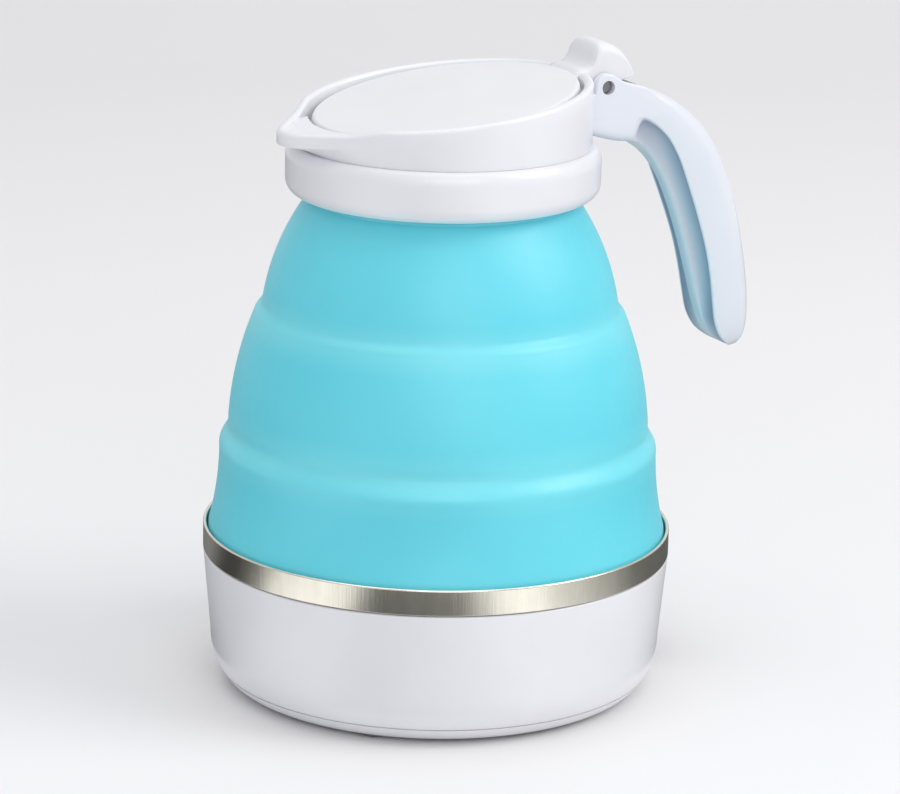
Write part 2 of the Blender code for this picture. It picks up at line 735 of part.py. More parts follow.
def lens_matrix():
    """Takes Z to the way out through the base's wall at the lamp."""
    tilt = Matrix.Rotation(pi / 2, 4, "Y")
    return turned_about_z(LENS_ANGLE) @ Matrix.Translation((0.0, 0.0, LENS_HEIGHT)) @ tilt


def base_radius_at(height):
    """Outer radius of the base's straight side at a height above the corner."""
    share = (height - CORNER_HEIGHT) / (BASE_TOP - CORNER_HEIGHT)
    return CORNER_RADIUS + (BASE_RADIUS - CORNER_RADIUS) * share


def cut_lens_hole(shell):
    hole = rod(
        "lens_hole", LENS_RADIUS + CLEARANCE, CORNER_RADIUS - BASE_WALL - OVERRUN, BASE_RADIUS + OVERRUN,
        group=cutters, matrix=lens_matrix(),
    )
    cut(shell, hole)


def make_indicator_lens():
    front = base_radius_at(LENS_HEIGHT)
    back = front - BASE_WALL - CLEARANCE - LENS_PROUD
    outline = [
        (0.0, front + LENS_PROUD),
        (LENS_RADIUS * 0.5, front + LENS_PROUD * 0.75),
        (LENS_RADIUS, front - LENS_PROUD),
        (LENS_RADIUS, back),
        (LENS_FLANGE_RADIUS, back),
        (LENS_FLANGE_RADIUS, back - LENS_FLANGE),
        (0.0, back - LENS_FLANGE),
    ]
    lens = turned("indicator_lens", outline, red_lens, steps=SMALL_STEPS, open_at_axis=True)
    lens.matrix_world = lens_matrix()
    return lens


def make_bottom_cover():
    lip_outer = base_corner_radius(shell_bottom) - BASE_WALL - CLEARANCE
    lip_inner = lip_outer - COVER_LIP_WALL
    outline = [
        (0.0, COVER_WALL),
        (lip_inner - COVER_LIP_WALL / 2, COVER_WALL),
        (lip_inner, COVER_WALL + COVER_LIP_WALL / 2),
        (lip_inner, COVER_LIP_TOP),
        (lip_outer, COVER_LIP_TOP),
        (lip_outer, SEAM_HEIGHT),
        *base_corner(SEAM_HEIGHT, 0.0, 5),
        (0.0, 0.0),
    ]
    cover = turned("bottom_cover", outline, white_plastic, open_at_axis=True)
    half, _, _ = flange_limits(INLET_SEAT_MARGIN + CLEARANCE)
    notch = block(
        "cover_notch", (UNDERSIDE_RADIUS - OVERRUN, -half, SEAM_HEIGHT),
        (BASE_RADIUS, half, COVER_LIP_TOP + OVERRUN), group=cutters,
    )
    switch_half = SWITCH_FRAME_WIDTH / 2 + SWITCH_SEAT_WALL + CLEARANCE
    switch_notch = block(
        "cover_switch_notch", (UNDERSIDE_RADIUS - OVERRUN, -switch_half, SEAM_HEIGHT),
        (BASE_RADIUS, switch_half, COVER_LIP_TOP + OVERRUN), group=cutters,
        matrix=turned_about_z(SWITCH_ANGLE),
    )
    cut(cover, notch, switch_notch)
    for number, angle in enumerate(COVER_SCREW_ANGLES):
        at = on_circle(FASTENER_CIRCLE, angle)
        above = COVER_WALL + OVERRUN
        hole = rod(f"cover_hole_{number}", SCREW_SHANK + CLEARANCE, -OVERRUN, above, at, group=cutters)
        sink_depth = SCREW_HEAD_HEIGHT + CLEARANCE
        sink = rod(f"cover_sink_{number}", SCREW_HEAD + CLEARANCE, -OVERRUN, sink_depth, at, group=cutters)
        cut(cover, hole, sink)
    for number, angle in enumerate(FOOT_ANGLES):
        at = on_circle(FASTENER_CIRCLE, angle)
        pocket = f"foot_pocket_{number}"
        cut(cover, rod(pocket, FOOT_RADIUS + CLEARANCE, -OVERRUN, FOOT_SINK, at, group=cutters))
    return cover


def copies(name, matrices, outline, material):
    """A turned piece at each of several places. The copies share one profile."""
    first = turned(f"{name}_1", outline, material, steps=SMALL_STEPS, open_at_axis=True)
    first.matrix_world = matrices[0]
    for number, matrix in enumerate(matrices[1:], 2):
        copy = first.copy()
        copy.name = f"{name}_{number}"
        parts.objects.link(copy)
        copy.matrix_world = matrix


def screw_outline(shank, head, head_height, length):
    """A pan-head screw that points up, with its head at the bottom."""
    return [
        (0.0, length), (shank, length - shank), (shank, head_height), (head, head_height),
        (head * 0.8, 0.0), (0.0, 0.0),
    ]


def make_cover_screws():
    places = [Matrix.Translation((*on_circle(FASTENER_CIRCLE, a), 0.0)) for a in COVER_SCREW_ANGLES]
    outline = screw_outline(SCREW_SHANK, SCREW_HEAD, SCREW_HEAD_HEIGHT, SCREW_LENGTH)
    copies("cover_screw", places, outline, plain_steel)


def make_rubber_feet():
    places = [Matrix.Translation((*on_circle(FASTENER_CIRCLE, a), 0.0)) for a in FOOT_ANGLES]
    top = FOOT_SINK - CLEARANCE
    outline = [
        (0.0, top), (FOOT_RADIUS, top), (FOOT_RADIUS, -FOOT_PROUD / 2),
        (FOOT_RADIUS - FOOT_PROUD / 2, -FOOT_PROUD),
        (0.0, -FOOT_PROUD),
    ]
    copies("rubber_foot", places, outline, grey_rubber)


def make_steel_band():
    inner = BAND_RADIUS - BAND_WALL
    outline = [
        (inner + BAND_WALL * 0.4, band_top),
        (BAND_RADIUS - BAND_WALL * 0.2, band_top - BAND_WALL * 0.2),
        (BAND_RADIUS, band_top - BAND_WALL * 0.6),
        (BAND_RADIUS, band_bottom),
        (shelf_bore, band_bottom),
        (shelf_bore, band_bottom + BAND_FLANGE),
        (inner, band_bottom + BAND_FLANGE),
        (inner, band_top - BAND_WALL * 0.4),
    ]
    return turned("steel_band", outline, brushed_steel)


def make_steel_pan():
    inner = PAN_RADIUS - PAN_SHEET
    floor_top = PAN_FLOOR + PAN_SHEET
    knee = (PAN_RADIUS - PAN_CORNER, PAN_FLOOR + PAN_CORNER)
    inside = quarter(knee, PAN_CORNER - PAN_SHEET, PAN_CORNER - PAN_SHEET, -pi / 2, 0.0, 3)
    outside = quarter(knee, PAN_CORNER, PAN_CORNER, 0.0, -pi / 2, 3)
    outline = [
        (0.0, floor_top), *inside, (inner, pan_top), (PAN_FLANGE_RADIUS, pan_top),
        (PAN_FLANGE_RADIUS, pan_flange_bottom), (PAN_RADIUS, pan_flange_bottom), *outside, (0.0, PAN_FLOOR),
    ]
    pan = turned("steel_pan", outline, plain_steel, open_at_axis=True)
    for number, angle in enumerate(STUD_ANGLES):
        at = on_circle(STUD_CIRCLE, angle)
        foot = nut_bottom - STUD_END
        stud = rod(f"stud_{number}", STUD_RADIUS, foot, PAN_FLOOR + PAN_SHEET / 2, at, group=cutters)
        join(pan, stud)
    return pan


def make_pan_nuts():
    for number, angle in enumerate(STUD_ANGLES, 1):
        at = on_circle(STUD_CIRCLE, angle)
        nut = rod(f"pan_nut_{number}", NUT_RADIUS, nut_bottom, nut_top, at, plain_steel, sides=6)
        bore = rod(
            f"nut_bore_{number}", STUD_RADIUS + CLEARANCE, nut_bottom - OVERRUN, nut_top + OVERRUN,
            at, group=cutters,
        )
        cut(nut, bore)


def shoulder(low, high, count):
    """Points up a shoulder where the silicone folds: an S between two tiers."""
    points = []
    for i in range(1, count):
        t = i / count
        radius = low[0] + (high[0] - low[0]) * smooth_step(t)
        points.append((radius + SHOULDER_SAG * sin(2 * pi * t), low[1] + (high[1] - low[1]) * t))
    return points


def inward(points, wall):
    """The same points moved towards the axis by a wall."""
    return [(r - wall, z) for r, z in points]


def make_silicone_lower():
    foot = (TIER_ONE_FOOT_RADIUS, TIER_ONE_FOOT)
    outer = bowed(foot, (TIER_ONE_TOP_RADIUS, TIER_ONE_TOP), TIER_ONE_BULGE, 3)
    wall_foot = TIER_ONE_FOOT_RADIUS - SILICONE_WALL
    outline = [
        *reversed(outer),
        (BEAD_RADIUS, bead_top), (BEAD_RADIUS, bead_bottom), (shelf_bore, bead_bottom),
        (shelf_bore, bead_top),
        (wall_foot, bead_top), *inward(outer, SILICONE_WALL),
    ]
    return turned("silicone_lower", outline, blue_silicone)


def make_silicone_middle():
    start = (TIER_ONE_TOP_RADIUS, TIER_ONE_TOP + CLEARANCE)
    foot = (TIER_TWO_FOOT_RADIUS, TIER_TWO_FOOT)
    top = (TIER_TWO_TOP_RADIUS, TIER_TWO_TOP)
    end = (TIER_THREE_FOOT_RADIUS, TIER_THREE_FOOT - CLEARANCE)
    tier = bowed(foot, top, TIER_TWO_BULGE, 4)
    outer = [start, *shoulder(start, foot, 3), *tier, *shoulder(top, end, 2), end]
    inner = [(start[0] - SILICONE_WALL, start[1])]
    inner += inward(shoulder(start, foot, 3), FOLD_WALL)
    inner += inward(tier, SILICONE_WALL)
    inner += inward(shoulder(top, end, 2), FOLD_WALL)
    inner.append((end[0] - SILICONE_WALL, end[1]))
    return turned("silicone_middle", [*reversed(outer), *inner], blue_silicone)


def make_silicone_upper():
    foot = (TIER_THREE_FOOT_RADIUS, TIER_THREE_FOOT)
    top = (TIER_THREE_TOP_RADIUS, TIER_THREE_TOP)
    outer = bowed(foot, top, TIER_THREE_BULGE, 5)
    bore = TIER_THREE_TOP_RADIUS - SILICONE_WALL
    outline = [
        (NECK_BEAD_RADIUS, neck_bead_top), (NECK_BEAD_RADIUS, neck_bead_bottom),
        (TIER_THREE_TOP_RADIUS, neck_bead_bottom), *reversed(outer),
        *inward(outer, SILICONE_WALL), (bore, neck_bead_top),
    ]
    return turned("silicone_upper", outline, blue_silicone)


def make_collar():
    foot_centre = (COLLAR_RADIUS - COLLAR_FOOT_ROUND, COLLAR_BOTTOM + COLLAR_FOOT_ROUND)
    shoulder_centre = (COLLAR_RADIUS - COLLAR_SHOULDER_WIDTH, COLLAR_TOP - COLLAR_SHOULDER_HEIGHT)
    lip_bore = TIER_THREE_TOP_RADIUS + CLEARANCE
    outline = [
        *quarter(shoulder_centre, COLLAR_SHOULDER_WIDTH, COLLAR_SHOULDER_HEIGHT, pi / 2, 0.0, 3),
        *quarter(foot_centre, COLLAR_FOOT_ROUND, COLLAR_FOOT_ROUND, 0.0, -pi / 2, 4),
        (lip_bore, COLLAR_BOTTOM), (lip_bore, COLLAR_BOTTOM + COLLAR_LIP),
        (collar_bore, COLLAR_BOTTOM + COLLAR_LIP), (collar_bore, COLLAR_TOP),
    ]
    return turned("collar", outline, white_plastic)


def make_neck_ring():
    sleeve = TIER_THREE_TOP_RADIUS - SILICONE_WALL - CLEARANCE
    flange_top = neck_flange_bottom + NECK_FLANGE
    tube_top = spigot_bottom - CLEARANCE
    outline = [
        (NECK_BEAD_RADIUS, tube_top), (NECK_BEAD_RADIUS, neck_flange_bottom), (sleeve, neck_flange_bottom),
        (sleeve, neck_flange_bottom - NECK_RING_DROP),
        (sleeve - NECK_RING_WALL, neck_flange_bottom - NECK_RING_DROP),
        (sleeve - NECK_RING_WALL, flange_top), (NECK_BEAD_RADIUS - NECK_TUBE_WALL, flange_top),
        (NECK_BEAD_RADIUS - NECK_TUBE_WALL, tube_top),
    ]
    return turned("neck_ring", outline, white_plastic)


def spout_radius(angle, offset):
    """Radius of the rim's outline at an angle from the spout, drawn in by an offset: a circle whose tangents
    run to a small circle at the tip."""
    circle = RIM_RADIUS - offset
    tip = SPOUT_TIP_RADIUS - offset
    centre = SPOUT_REACH - SPOUT_TIP_RADIUS
    touch = acos((circle - tip) / centre)
    tip_end = atan2(tip * sin(touch), centre + tip * cos(touch))
    a = abs(angle)
    if a < tip_end:
        return centre * cos(a) + sqrt(tip * tip - (centre * sin(a)) ** 2)
    if a < touch:
        return circle / cos(touch - a)
    return circle


def rim_top(x):
    """Height of the rim's slanting top edge at x, with the step down to the spout."""
    return RIM_HEIGHT + RIM_SLOPE * x - SPOUT_STEP * smooth_step((-x - SPOUT_STEP_START) / SPOUT_STEP_LENGTH)


def lid_top(x):
    return LID_HEIGHT + LID_SLOPE * x


def rim_section(angle):
    """The rim's closed section at an angle from the spout, as (radius, height) points."""
    outer = spout_radius(angle, 0.0)
    inner = spout_radius(angle, RIM_WALL)
    top = rim_top(-outer * cos(angle))
    inner_top = rim_top(-inner * cos(angle))
    under_lid = LID_THICKNESS + 2 * CLEARANCE
    seat = lid_top(-(RIM_RADIUS - RIM_WALL) * cos(angle)) - under_lid
    inner_seat = lid_top(-RIM_BORE * cos(angle)) - under_lid
    chute = smooth_step(SPOUT_CHUTE_SLOPE * (inner - (RIM_RADIUS - RIM_WALL)) / SPOUT_LENGTH)
    floor = seat + (inner_top - SPOUT_CHUTE_DEPTH - seat) * chute
    step = seat + (rim_top(-seat_radius * cos(angle)) - SPOUT_CHUTE_DEPTH - seat) * chute
    lip_bottom = top - SPOUT_LIP
    flare = []
    for t in (0.25, 0.5, 0.75):
        radius = RIM_RADIUS + (outer - RIM_RADIUS) * (1 - t) ** 1.6
        flare.append((radius, lip_bottom + (rim_bottom - lip_bottom) * t))
    edge = RIM_EDGE
    return [
        (inner + edge / 2, inner_top),
        (outer - edge, top),
        (outer - edge * 0.3, top - edge * 0.3),
        (outer, top - edge),
        (outer, lip_bottom),
        *flare,
        (RIM_RADIUS, rim_bottom),
        (spigot_radius, rim_bottom),
        (spigot_radius, spigot_bottom),
        (RIM_BORE, spigot_bottom),
        (RIM_BORE, inner_seat),
        (seat_radius, seat),
        (seat_radius + CLEARANCE / 2, step),
        (inner - edge / 2, floor),
        (inner, floor + edge / 2),
        (inner, inner_top - edge / 2),
    ]


def rim_angles():
    """Angles from the spout: close together across it, wider round the rest of the rim."""
    angles = [-SPOUT_HALF_ANGLE + 2 * SPOUT_HALF_ANGLE * i / SPOUT_DIVISIONS for i in range(SPOUT_DIVISIONS)]
    rest = 2 * pi - 2 * SPOUT_HALF_ANGLE
    angles += [SPOUT_HALF_ANGLE + rest * i / RIM_DIVISIONS for i in range(RIM_DIVISIONS)]
    return angles


def make_spout_rim():
    rings = []
    for angle in rim_angles():
        wrapped = atan2(sin(angle), cos(angle))
        section = rim_section(wrapped)
        rings.append([(-r * cos(wrapped), r * sin(wrapped), z) for r, z in section])
    rim = loft("spout_rim", rings, white_plastic, looped=True)
    slot_half = HANDLE_WIDTH / 2 - EAR_WALL
    notch = block(
        "rim_notch", (RIM_BORE - OVERRUN, -slot_half, PIN_HEIGHT - KNUCKLE_RADIUS - OVERRUN / 2),
        (RIM_RADIUS + OVERRUN, slot_half, RIM_HEIGHT + KNUCKLE_RADIUS + TAB_HEIGHT), group=cutters,
    )
    cut(rim, notch)
    for side in (-1, 1):
        at = handle_screw_matrix(side)
        hole = rod(
            f"rim_screw_hole_{side}", HANDLE_SCREW_SHANK + CLEARANCE, -OVERRUN,
            RIM_RADIUS - RIM_BORE + OVERRUN * 2,
            group=cutters, matrix=at,
        )
        seat = rod(
            f"rim_screw_seat_{side}", HANDLE_SCREW_HEAD + CLEARANCE, -OVERRUN * 2,
            HANDLE_SCREW_HEAD_HEIGHT + CLEARANCE,
            group=cutters, matrix=at,
        )
        cut(rim, hole, seat)
    return rim


def handle_screw_matrix(side):
    """Takes Z to +X, from the inner face of the head of a handle screw."""
    start = RIM_BORE + HANDLE_SCREW_SEAT - HANDLE_SCREW_HEAD_HEIGHT
    at = Matrix.Translation((start, side * HANDLE_SCREW_SPREAD, HANDLE_SCREW_HEIGHT))
    return at @ Matrix.Rotation(pi / 2, 4, "Y")


def make_handle_screws():
    outline = screw_outline(
        HANDLE_SCREW_SHANK, HANDLE_SCREW_HEAD, HANDLE_SCREW_HEAD_HEIGHT, HANDLE_SCREW_LENGTH,
    )
    copies("handle_screw", [handle_screw_matrix(side) for side in (-1, 1)], outline, plain_steel)


def handle_point(share):
    """A point of the handle. Its second share runs from 0 at the handle's top through 1 at the underside of
    its root to 2 at its tip."""
    root = min(share[1], 1.0)
    fall = share[1] - root
    height = HANDLE_TOP - (HANDLE_TOP - HANDLE_ROOT_BOTTOM) * root - HANDLE_FALL * fall
    return Vector((HANDLE_ROOT + HANDLE_REACH * share[0], 0.0, height))


def plain_half(depth, half_width):
    """Half of the handle's plain section, a superellipse from the middle of its back to the middle of
    its front, as (distance from the back, distance to the side)."""
    count = HANDLE_BACK_STEPS + HANDLE_COVE_STEPS + 4
    points = []
    for i in range(count + 1):
        a = pi * i / count
        along = abs(cos(a)) ** (2 / HANDLE_SQUARENESS) * (1 if cos(a) >= 0 else -1)
        points.append((depth / 2 * (1 - along), half_width * abs(sin(a)) ** (2 / HANDLE_SQUARENESS)))
    return points


def coved_half(depth, half_width, cove):
    """Half of the coved section: round the back, down the side to the cove, and along it to the ridge."""
    bend = cove / 2
    points = []
    for i in range(HANDLE_BACK_STEPS + 1):
        a = pi / 2 * i / HANDLE_BACK_STEPS
        along = abs(cos(a)) ** (2 / HANDLE_SQUARENESS)
        points.append((bend * (1 - along), half_width * sin(a) ** (2 / HANDLE_SQUARENESS)))
    rim_side = half_width - HANDLE_EDGE
    ridge_side = HANDLE_RIDGE_WIDTH / 2
    points += [(cove - HANDLE_EDGE, half_width), (cove, rim_side)]
    ridge_foot = depth - HANDLE_EDGE
    for i in range(1, HANDLE_COVE_STEPS + 1):
        a = pi / 2 * (1 - i / HANDLE_COVE_STEPS)
        along = ridge_foot - (ridge_foot - cove) * sin(a)
        points.append((along, rim_side - (rim_side - ridge_side) * cos(a)))
    return [*points, (depth, ridge_side - HANDLE_EDGE), (depth, 0.0)]


def handle_ring(back, front, half_width, cove_share):
    """The handle's whole section between a point of its back and one of its front."""
    depth = (back - front).length
    inward_way = (front - back).normalized()
    half = plain_half(depth, half_width)
    if cove_share < 1:
        half = coved_half(depth, half_width, depth * cove_share)
    near = [back + inward_way * d + Vector((0.0, -w, 0.0)) for d, w in half]
    far = [back + inward_way * d + Vector((0.0, w, 0.0)) for d, w in half[1:-1]]
    return near + list(reversed(far))


def handle_rings():
    shares = zip(HANDLE_BACK_SHARES, HANDLE_FRONT_SHARES, HANDLE_WIDTH_SHARES, HANDLE_COVE_SHARES)
    rings = [
        handle_ring(handle_point(back), handle_point(front), HANDLE_WIDTH / 2 * width, cove)
        for back, front, width, cove in shares
    ]
    tip = rings[-1]
    centre = sum(tip, Vector()) / len(tip)
    onward = (centre - sum(rings[-2], Vector()) / len(tip)).normalized() * HANDLE_EDGE
    rings.append([centre + (point - centre) * HANDLE_TIP_SHARE + onward for point in tip])
    return rings


def make_handle():
    handle = loft("handle", handle_rings(), cool_white_plastic)
    half = HANDLE_WIDTH / 2
    ear_outline = quarter((PIN_X, PIN_HEIGHT), EAR_RADIUS, EAR_RADIUS, pi, 0.0, 8)
    ear_bottom = SLOT_FLOOR - CLEARANCE
    ear_outline += [(PIN_X + SLOT_BACK + CLEARANCE, ear_bottom), (HANDLE_ROOT, ear_bottom)]
    ears = flat_prism("handle_ears", ear_outline, -half, half, swap_to_xz(), group=cutters)
    slot_half = half - EAR_WALL
    slot = block(
        "handle_slot", (HANDLE_ROOT - OVERRUN, -slot_half, SLOT_FLOOR),
        (PIN_X + SLOT_BACK, slot_half, PIN_HEIGHT + TAB_HEIGHT), group=cutters,
    )
    pin_hole = rod(
        "handle_pin_hole", PIN_RADIUS + CLEARANCE, -half - OVERRUN, half + OVERRUN, group=cutters,
        matrix=pin_matrix(),
    )
    rim_space = rod(
        "rim_space", RIM_RADIUS + CLEARANCE, rim_bottom - OVERRUN, PIN_HEIGHT + TAB_HEIGHT, group=cutters,
        sides=2 * TURN_STEPS, matrix=turned_about_z(pi / (2 * TURN_STEPS)),
    )
    join(handle, ears)
    cut(handle, rim_space, slot, pin_hole)
    for side in (-1, 1):
        hole = rod(
            f"handle_screw_hole_{side}", HANDLE_SCREW_SHANK + CLEARANCE, 0.0, HANDLE_SCREW_LENGTH + OVERRUN,
            group=cutters, matrix=handle_screw_matrix(side),
        )
        cut(handle, hole)
    return handle


def pin_matrix():
    """Takes Z to the lid's hinge axis, along Y through the pin."""
    return Matrix.Translation((PIN_X, 0.0, PIN_HEIGHT)) @ Matrix.Rotation(pi / 2, 4, "X")


def make_hinge_pin():
    half = HANDLE_WIDTH / 2 - PIN_RECESS
    return rod("hinge_pin", PIN_RADIUS, -half, half, material=plain_steel, matrix=pin_matrix())


def lid_matrix():
    """Takes the lid's own frame, with its top at z = 0, to its slanting place on the rim."""
    at = Matrix.Translation((LID_CENTRE, 0.0, lid_top(LID_CENTRE)))
    return at @ Matrix.Rotation(-atan(LID_SLOPE), 4, "Y")


def make_lid_cover():
    skirt = LID_RADIUS - LID_SKIN
    outline = [
        (0.0, 0.0), (LID_RADIUS - LID_EDGE, 0.0), (LID_RADIUS - LID_EDGE * 0.3, -LID_EDGE * 0.3),
        (LID_RADIUS, -LID_EDGE), (LID_RADIUS, -LID_THICKNESS), (skirt, -LID_THICKNESS), (skirt, -LID_SKIN),
        (0.0, -LID_SKIN),
    ]
    lid = turned("lid_cover", outline, satin_plastic, open_at_axis=True)
    lid.matrix_world = lid_matrix()
    arm = lid_arm()
    arm_hole = rod(
        "arm_hole", PIN_RADIUS + CLEARANCE, -HANDLE_WIDTH, HANDLE_WIDTH, group=cutters, matrix=pin_matrix(),
    )
    join(lid, arm)
    cut(lid, arm_hole)
    return lid


def lid_arm():
    """The lid's knuckle and thumb tab: a side outline trimmed to an arch seen from the front."""
    rear = LID_CENTRE + LID_RADIUS
    anchor = rear - LID_SKIN
    outline = [(PIN_X + TAB_BACK * x, PIN_HEIGHT + TAB_HEIGHT * z) for x, z in TAB_SHARES]
    level = lid_top(anchor)
    outline += [(anchor + CLEARANCE, level - LID_EDGE), (anchor + CLEARANCE, level - LID_THICKNESS)]
    outline += quarter((PIN_X, PIN_HEIGHT), KNUCKLE_RADIUS, KNUCKLE_RADIUS, radians(215), radians(370), 8)
    side = flat_prism(
        "lid_arm", outline, -KNUCKLE_HALF_WIDTH, KNUCKLE_HALF_WIDTH, swap_to_xz(), group=cutters,
    )
    top = PIN_HEIGHT + TAB_HEIGHT
    spring = top - TAB_ROUND
    arch = quarter((KNUCKLE_HALF_WIDTH - TAB_ROUND, spring), TAB_ROUND, TAB_ROUND, 0.0, pi / 2, 5)
    arch += quarter((TAB_ROUND - KNUCKLE_HALF_WIDTH, spring), TAB_ROUND, TAB_ROUND, pi / 2, pi, 5)
    arch += [(-KNUCKLE_HALF_WIDTH, SLOT_FLOOR), (KNUCKLE_HALF_WIDTH, SLOT_FLOOR)]
    front = flat_prism(
        "tab_arch", arch, anchor - OVERRUN, PIN_X + TAB_BACK + OVERRUN, swap_to_yz(), group=cutters,
    )
    return combine(side, front, "INTERSECT")


def hang_on_pin(pieces):
    """Gives the lid's pieces an empty on the hinge axis as their parent, so that they turn together."""
    axis = bpy.data.objects.new("lid_axis", None)
    parts.objects.link(axis)
    axis.matrix_world = pin_matrix()
    bpy.context.view_layer.update()
    for piece in pieces:
        piece.parent = axis
        piece.matrix_parent_inverse = axis.matrix_world.inverted()


def make_lid_liner():
    top = -LID_SKIN - CLEARANCE
    disc = LID_RADIUS - LID_SKIN - CLEARANCE
    plug = LINER_RADIUS - LINER_WALL
    groove = LINER_RADIUS - LINER_GROOVE_DEPTH
    outline = [
        (0.0, top), (disc, top), (disc, -LID_THICKNESS), (LINER_RADIUS, -LID_THICKNESS - LID_SKIN / 2),
        (LINER_RADIUS, -LID_SEAL_DEPTH), (groove, -LID_SEAL_DEPTH),
        (groove, -LID_SEAL_DEPTH - LINER_GROOVE), (LINER_RADIUS, -LID_SEAL_DEPTH - LINER_GROOVE),
        (LINER_RADIUS, -LINER_DEPTH), (plug, -LINER_DEPTH), (plug, top - LINER_WALL),
        (0.0, top - LINER_WALL),
    ]
    liner = turned("lid_liner", outline, satin_plastic, open_at_axis=True)
    liner.matrix_world = lid_matrix()
    return liner


def make_lid_gasket():
    inner = LINER_RADIUS - LINER_GROOVE_DEPTH + CLEARANCE
    top = -LID_SEAL_DEPTH - CLEARANCE
    bottom = -LID_SEAL_DEPTH - LINER_GROOVE + CLEARANCE
    middle = (top + bottom) / 2
    outline = [
        (LINER_RADIUS, top), (GASKET_RADIUS, middle), (GASKET_RADIUS, middle - CLEARANCE),
        (LINER_RADIUS, bottom),
        (inner, bottom), (inner, top),
    ]
    gasket = turned("lid_gasket", outline, clear_silicone)
    gasket.matrix_world = lid_matrix()
    return gasket


def make_inlet_socket():
    half, low, high = flange_limits(0.0)
    socket = block(
        "inlet_socket", (INLET_SEAT + CLEARANCE, -half, low), (inlet_face, half, high), black_plastic,
    )
    back = inlet_face - INLET_DEPTH - INLET_BACK
    body = flat_prism(
        "inlet_body", inlet_outline(INLET_WALL), back, inlet_face - INLET_FLANGE / 2, swap_to_yz(),
        group=cutters,
    )
    cavity = flat_prism(
        "inlet_cavity", inlet_outline(0.0), inlet_face - INLET_DEPTH, inlet_face + OVERRUN, swap_to_yz(),
        group=cutters,
    )
    join(socket, body)
    cut(socket, cavity)
    across = BLADE_THICKNESS / 2 + CLEARANCE
    tall = BLADE_WIDTH / 2 + CLEARANCE
    for number, (y, z) in enumerate(blade_places()):
        socket_slot = block(
            f"blade_slot_{number}",
            (back - OVERRUN, y - across, z - tall),
            (inlet_face - INLET_DEPTH + OVERRUN, y + across, z + tall),
            group=cutters,
        )
        cut(socket, socket_slot)
    return socket


def blade_places():
    """Live, neutral and earth, as (y, z) of each blade's centre."""
    low = INLET_HEIGHT - BLADE_OFFSET
    return ((BLADE_SPREAD, low), (-BLADE_SPREAD, low), (0.0, INLET_HEIGHT + BLADE_OFFSET))


def make_inlet_pins():
    front = inlet_face - BLADE_SETBACK
    tail = inlet_face - INLET_DEPTH - INLET_BACK - BLADE_TAIL
    for name, (y, z) in zip(("live", "neutral", "earth"), blade_places()):
        block(
            f"{name}_blade", (tail, y - BLADE_THICKNESS / 2, z - BLADE_WIDTH / 2),
            (front, y + BLADE_THICKNESS / 2, z + BLADE_WIDTH / 2), brass,
        )


def make_switch_housing():
    spin = turned_about_z(SWITCH_ANGLE)
    frame_back = SWITCH_FACE - SWITCH_FRAME
    housing = block(
        "switch_housing", (frame_back, -SWITCH_FRAME_WIDTH / 2, SWITCH_HEIGHT - SWITCH_FRAME_HEIGHT / 2),
        (SWITCH_FACE, SWITCH_FRAME_WIDTH / 2, SWITCH_HEIGHT + SWITCH_FRAME_HEIGHT / 2),
        black_plastic, matrix=spin,
    )
    body = block(
        "switch_body",
        (SWITCH_FACE - SWITCH_BODY_DEPTH, -SWITCH_BODY_WIDTH / 2, SWITCH_HEIGHT - SWITCH_BODY_HEIGHT / 2),
        (SWITCH_FACE - SWITCH_FRAME / 2, SWITCH_BODY_WIDTH / 2, SWITCH_HEIGHT + SWITCH_BODY_HEIGHT / 2),
        group=cutters, matrix=spin,
    )
    window_half = SWITCH_WINDOW_WIDTH / 2
    window = block(
        "switch_window",
        (SWITCH_FACE - SWITCH_WINDOW_DEPTH, -window_half, SWITCH_HEIGHT - SWITCH_WINDOW_HEIGHT / 2),
        (SWITCH_FACE + OVERRUN, window_half, SWITCH_HEIGHT + SWITCH_WINDOW_HEIGHT / 2),
        group=cutters, matrix=spin,
    )
    pivot = rod(
        "switch_pivot_hole", ROCKER_PIVOT_RADIUS + CLEARANCE, -SWITCH_BODY_WIDTH, SWITCH_BODY_WIDTH,
        group=cutters, matrix=rocker_matrix(),
    )
    join(housing, body)
    return cut(housing, window, pivot)


def rocker_matrix():
    """Takes Z to the rocker's axis, level and along the base's side."""
    at = Matrix.Translation((SWITCH_FACE - ROCKER_PIVOT_DEPTH, 0.0, SWITCH_HEIGHT))
    return turned_about_z(SWITCH_ANGLE) @ at @ Matrix.Rotation(pi / 2, 4, "X")


def make_switch_rocker():
    """The rocker, made round its own axis and tilted to its off position."""
    half = ROCKER_HEIGHT / 2
    face = ROCKER_PIVOT_DEPTH + ROCKER_DIP
    back = ROCKER_PIVOT_DEPTH + ROCKER_DIP - ROCKER_DEPTH
    outline = [
        (back, -half * 0.8), (face, -half), (face - ROCKER_DIP, 0.0), (face, half), (back, half * 0.8),
        (back - ROCKER_DIP, 0.0),
    ]
    rocker = flat_prism(
        "switch_rocker", outline, -ROCKER_WIDTH / 2, ROCKER_WIDTH / 2, swap_to_xz(), black_plastic,
    )
    pivot = rod(
        "rocker_pivot", ROCKER_PIVOT_RADIUS, -ROCKER_WIDTH / 2 - ROCKER_PIVOT_END,
        ROCKER_WIDTH / 2 + ROCKER_PIVOT_END,
        group=cutters, matrix=Matrix.Rotation(pi / 2, 4, "X"),
    )
    at = Matrix.Translation((SWITCH_FACE - ROCKER_PIVOT_DEPTH, 0.0, SWITCH_HEIGHT))
    stand = turned_about_z(SWITCH_ANGLE) @ at @ Matrix.Rotation(ROCKER_TILT, 4, "Y")
    rocker.matrix_world = stand
    pivot.matrix_world = stand
    return join(rocker, pivot)


def terminal_tip():
    """Distance from the axis at which the switch's terminals end."""
    return SWITCH_FACE - SWITCH_BODY_DEPTH - CLEARANCE - TERMINAL_LENGTH


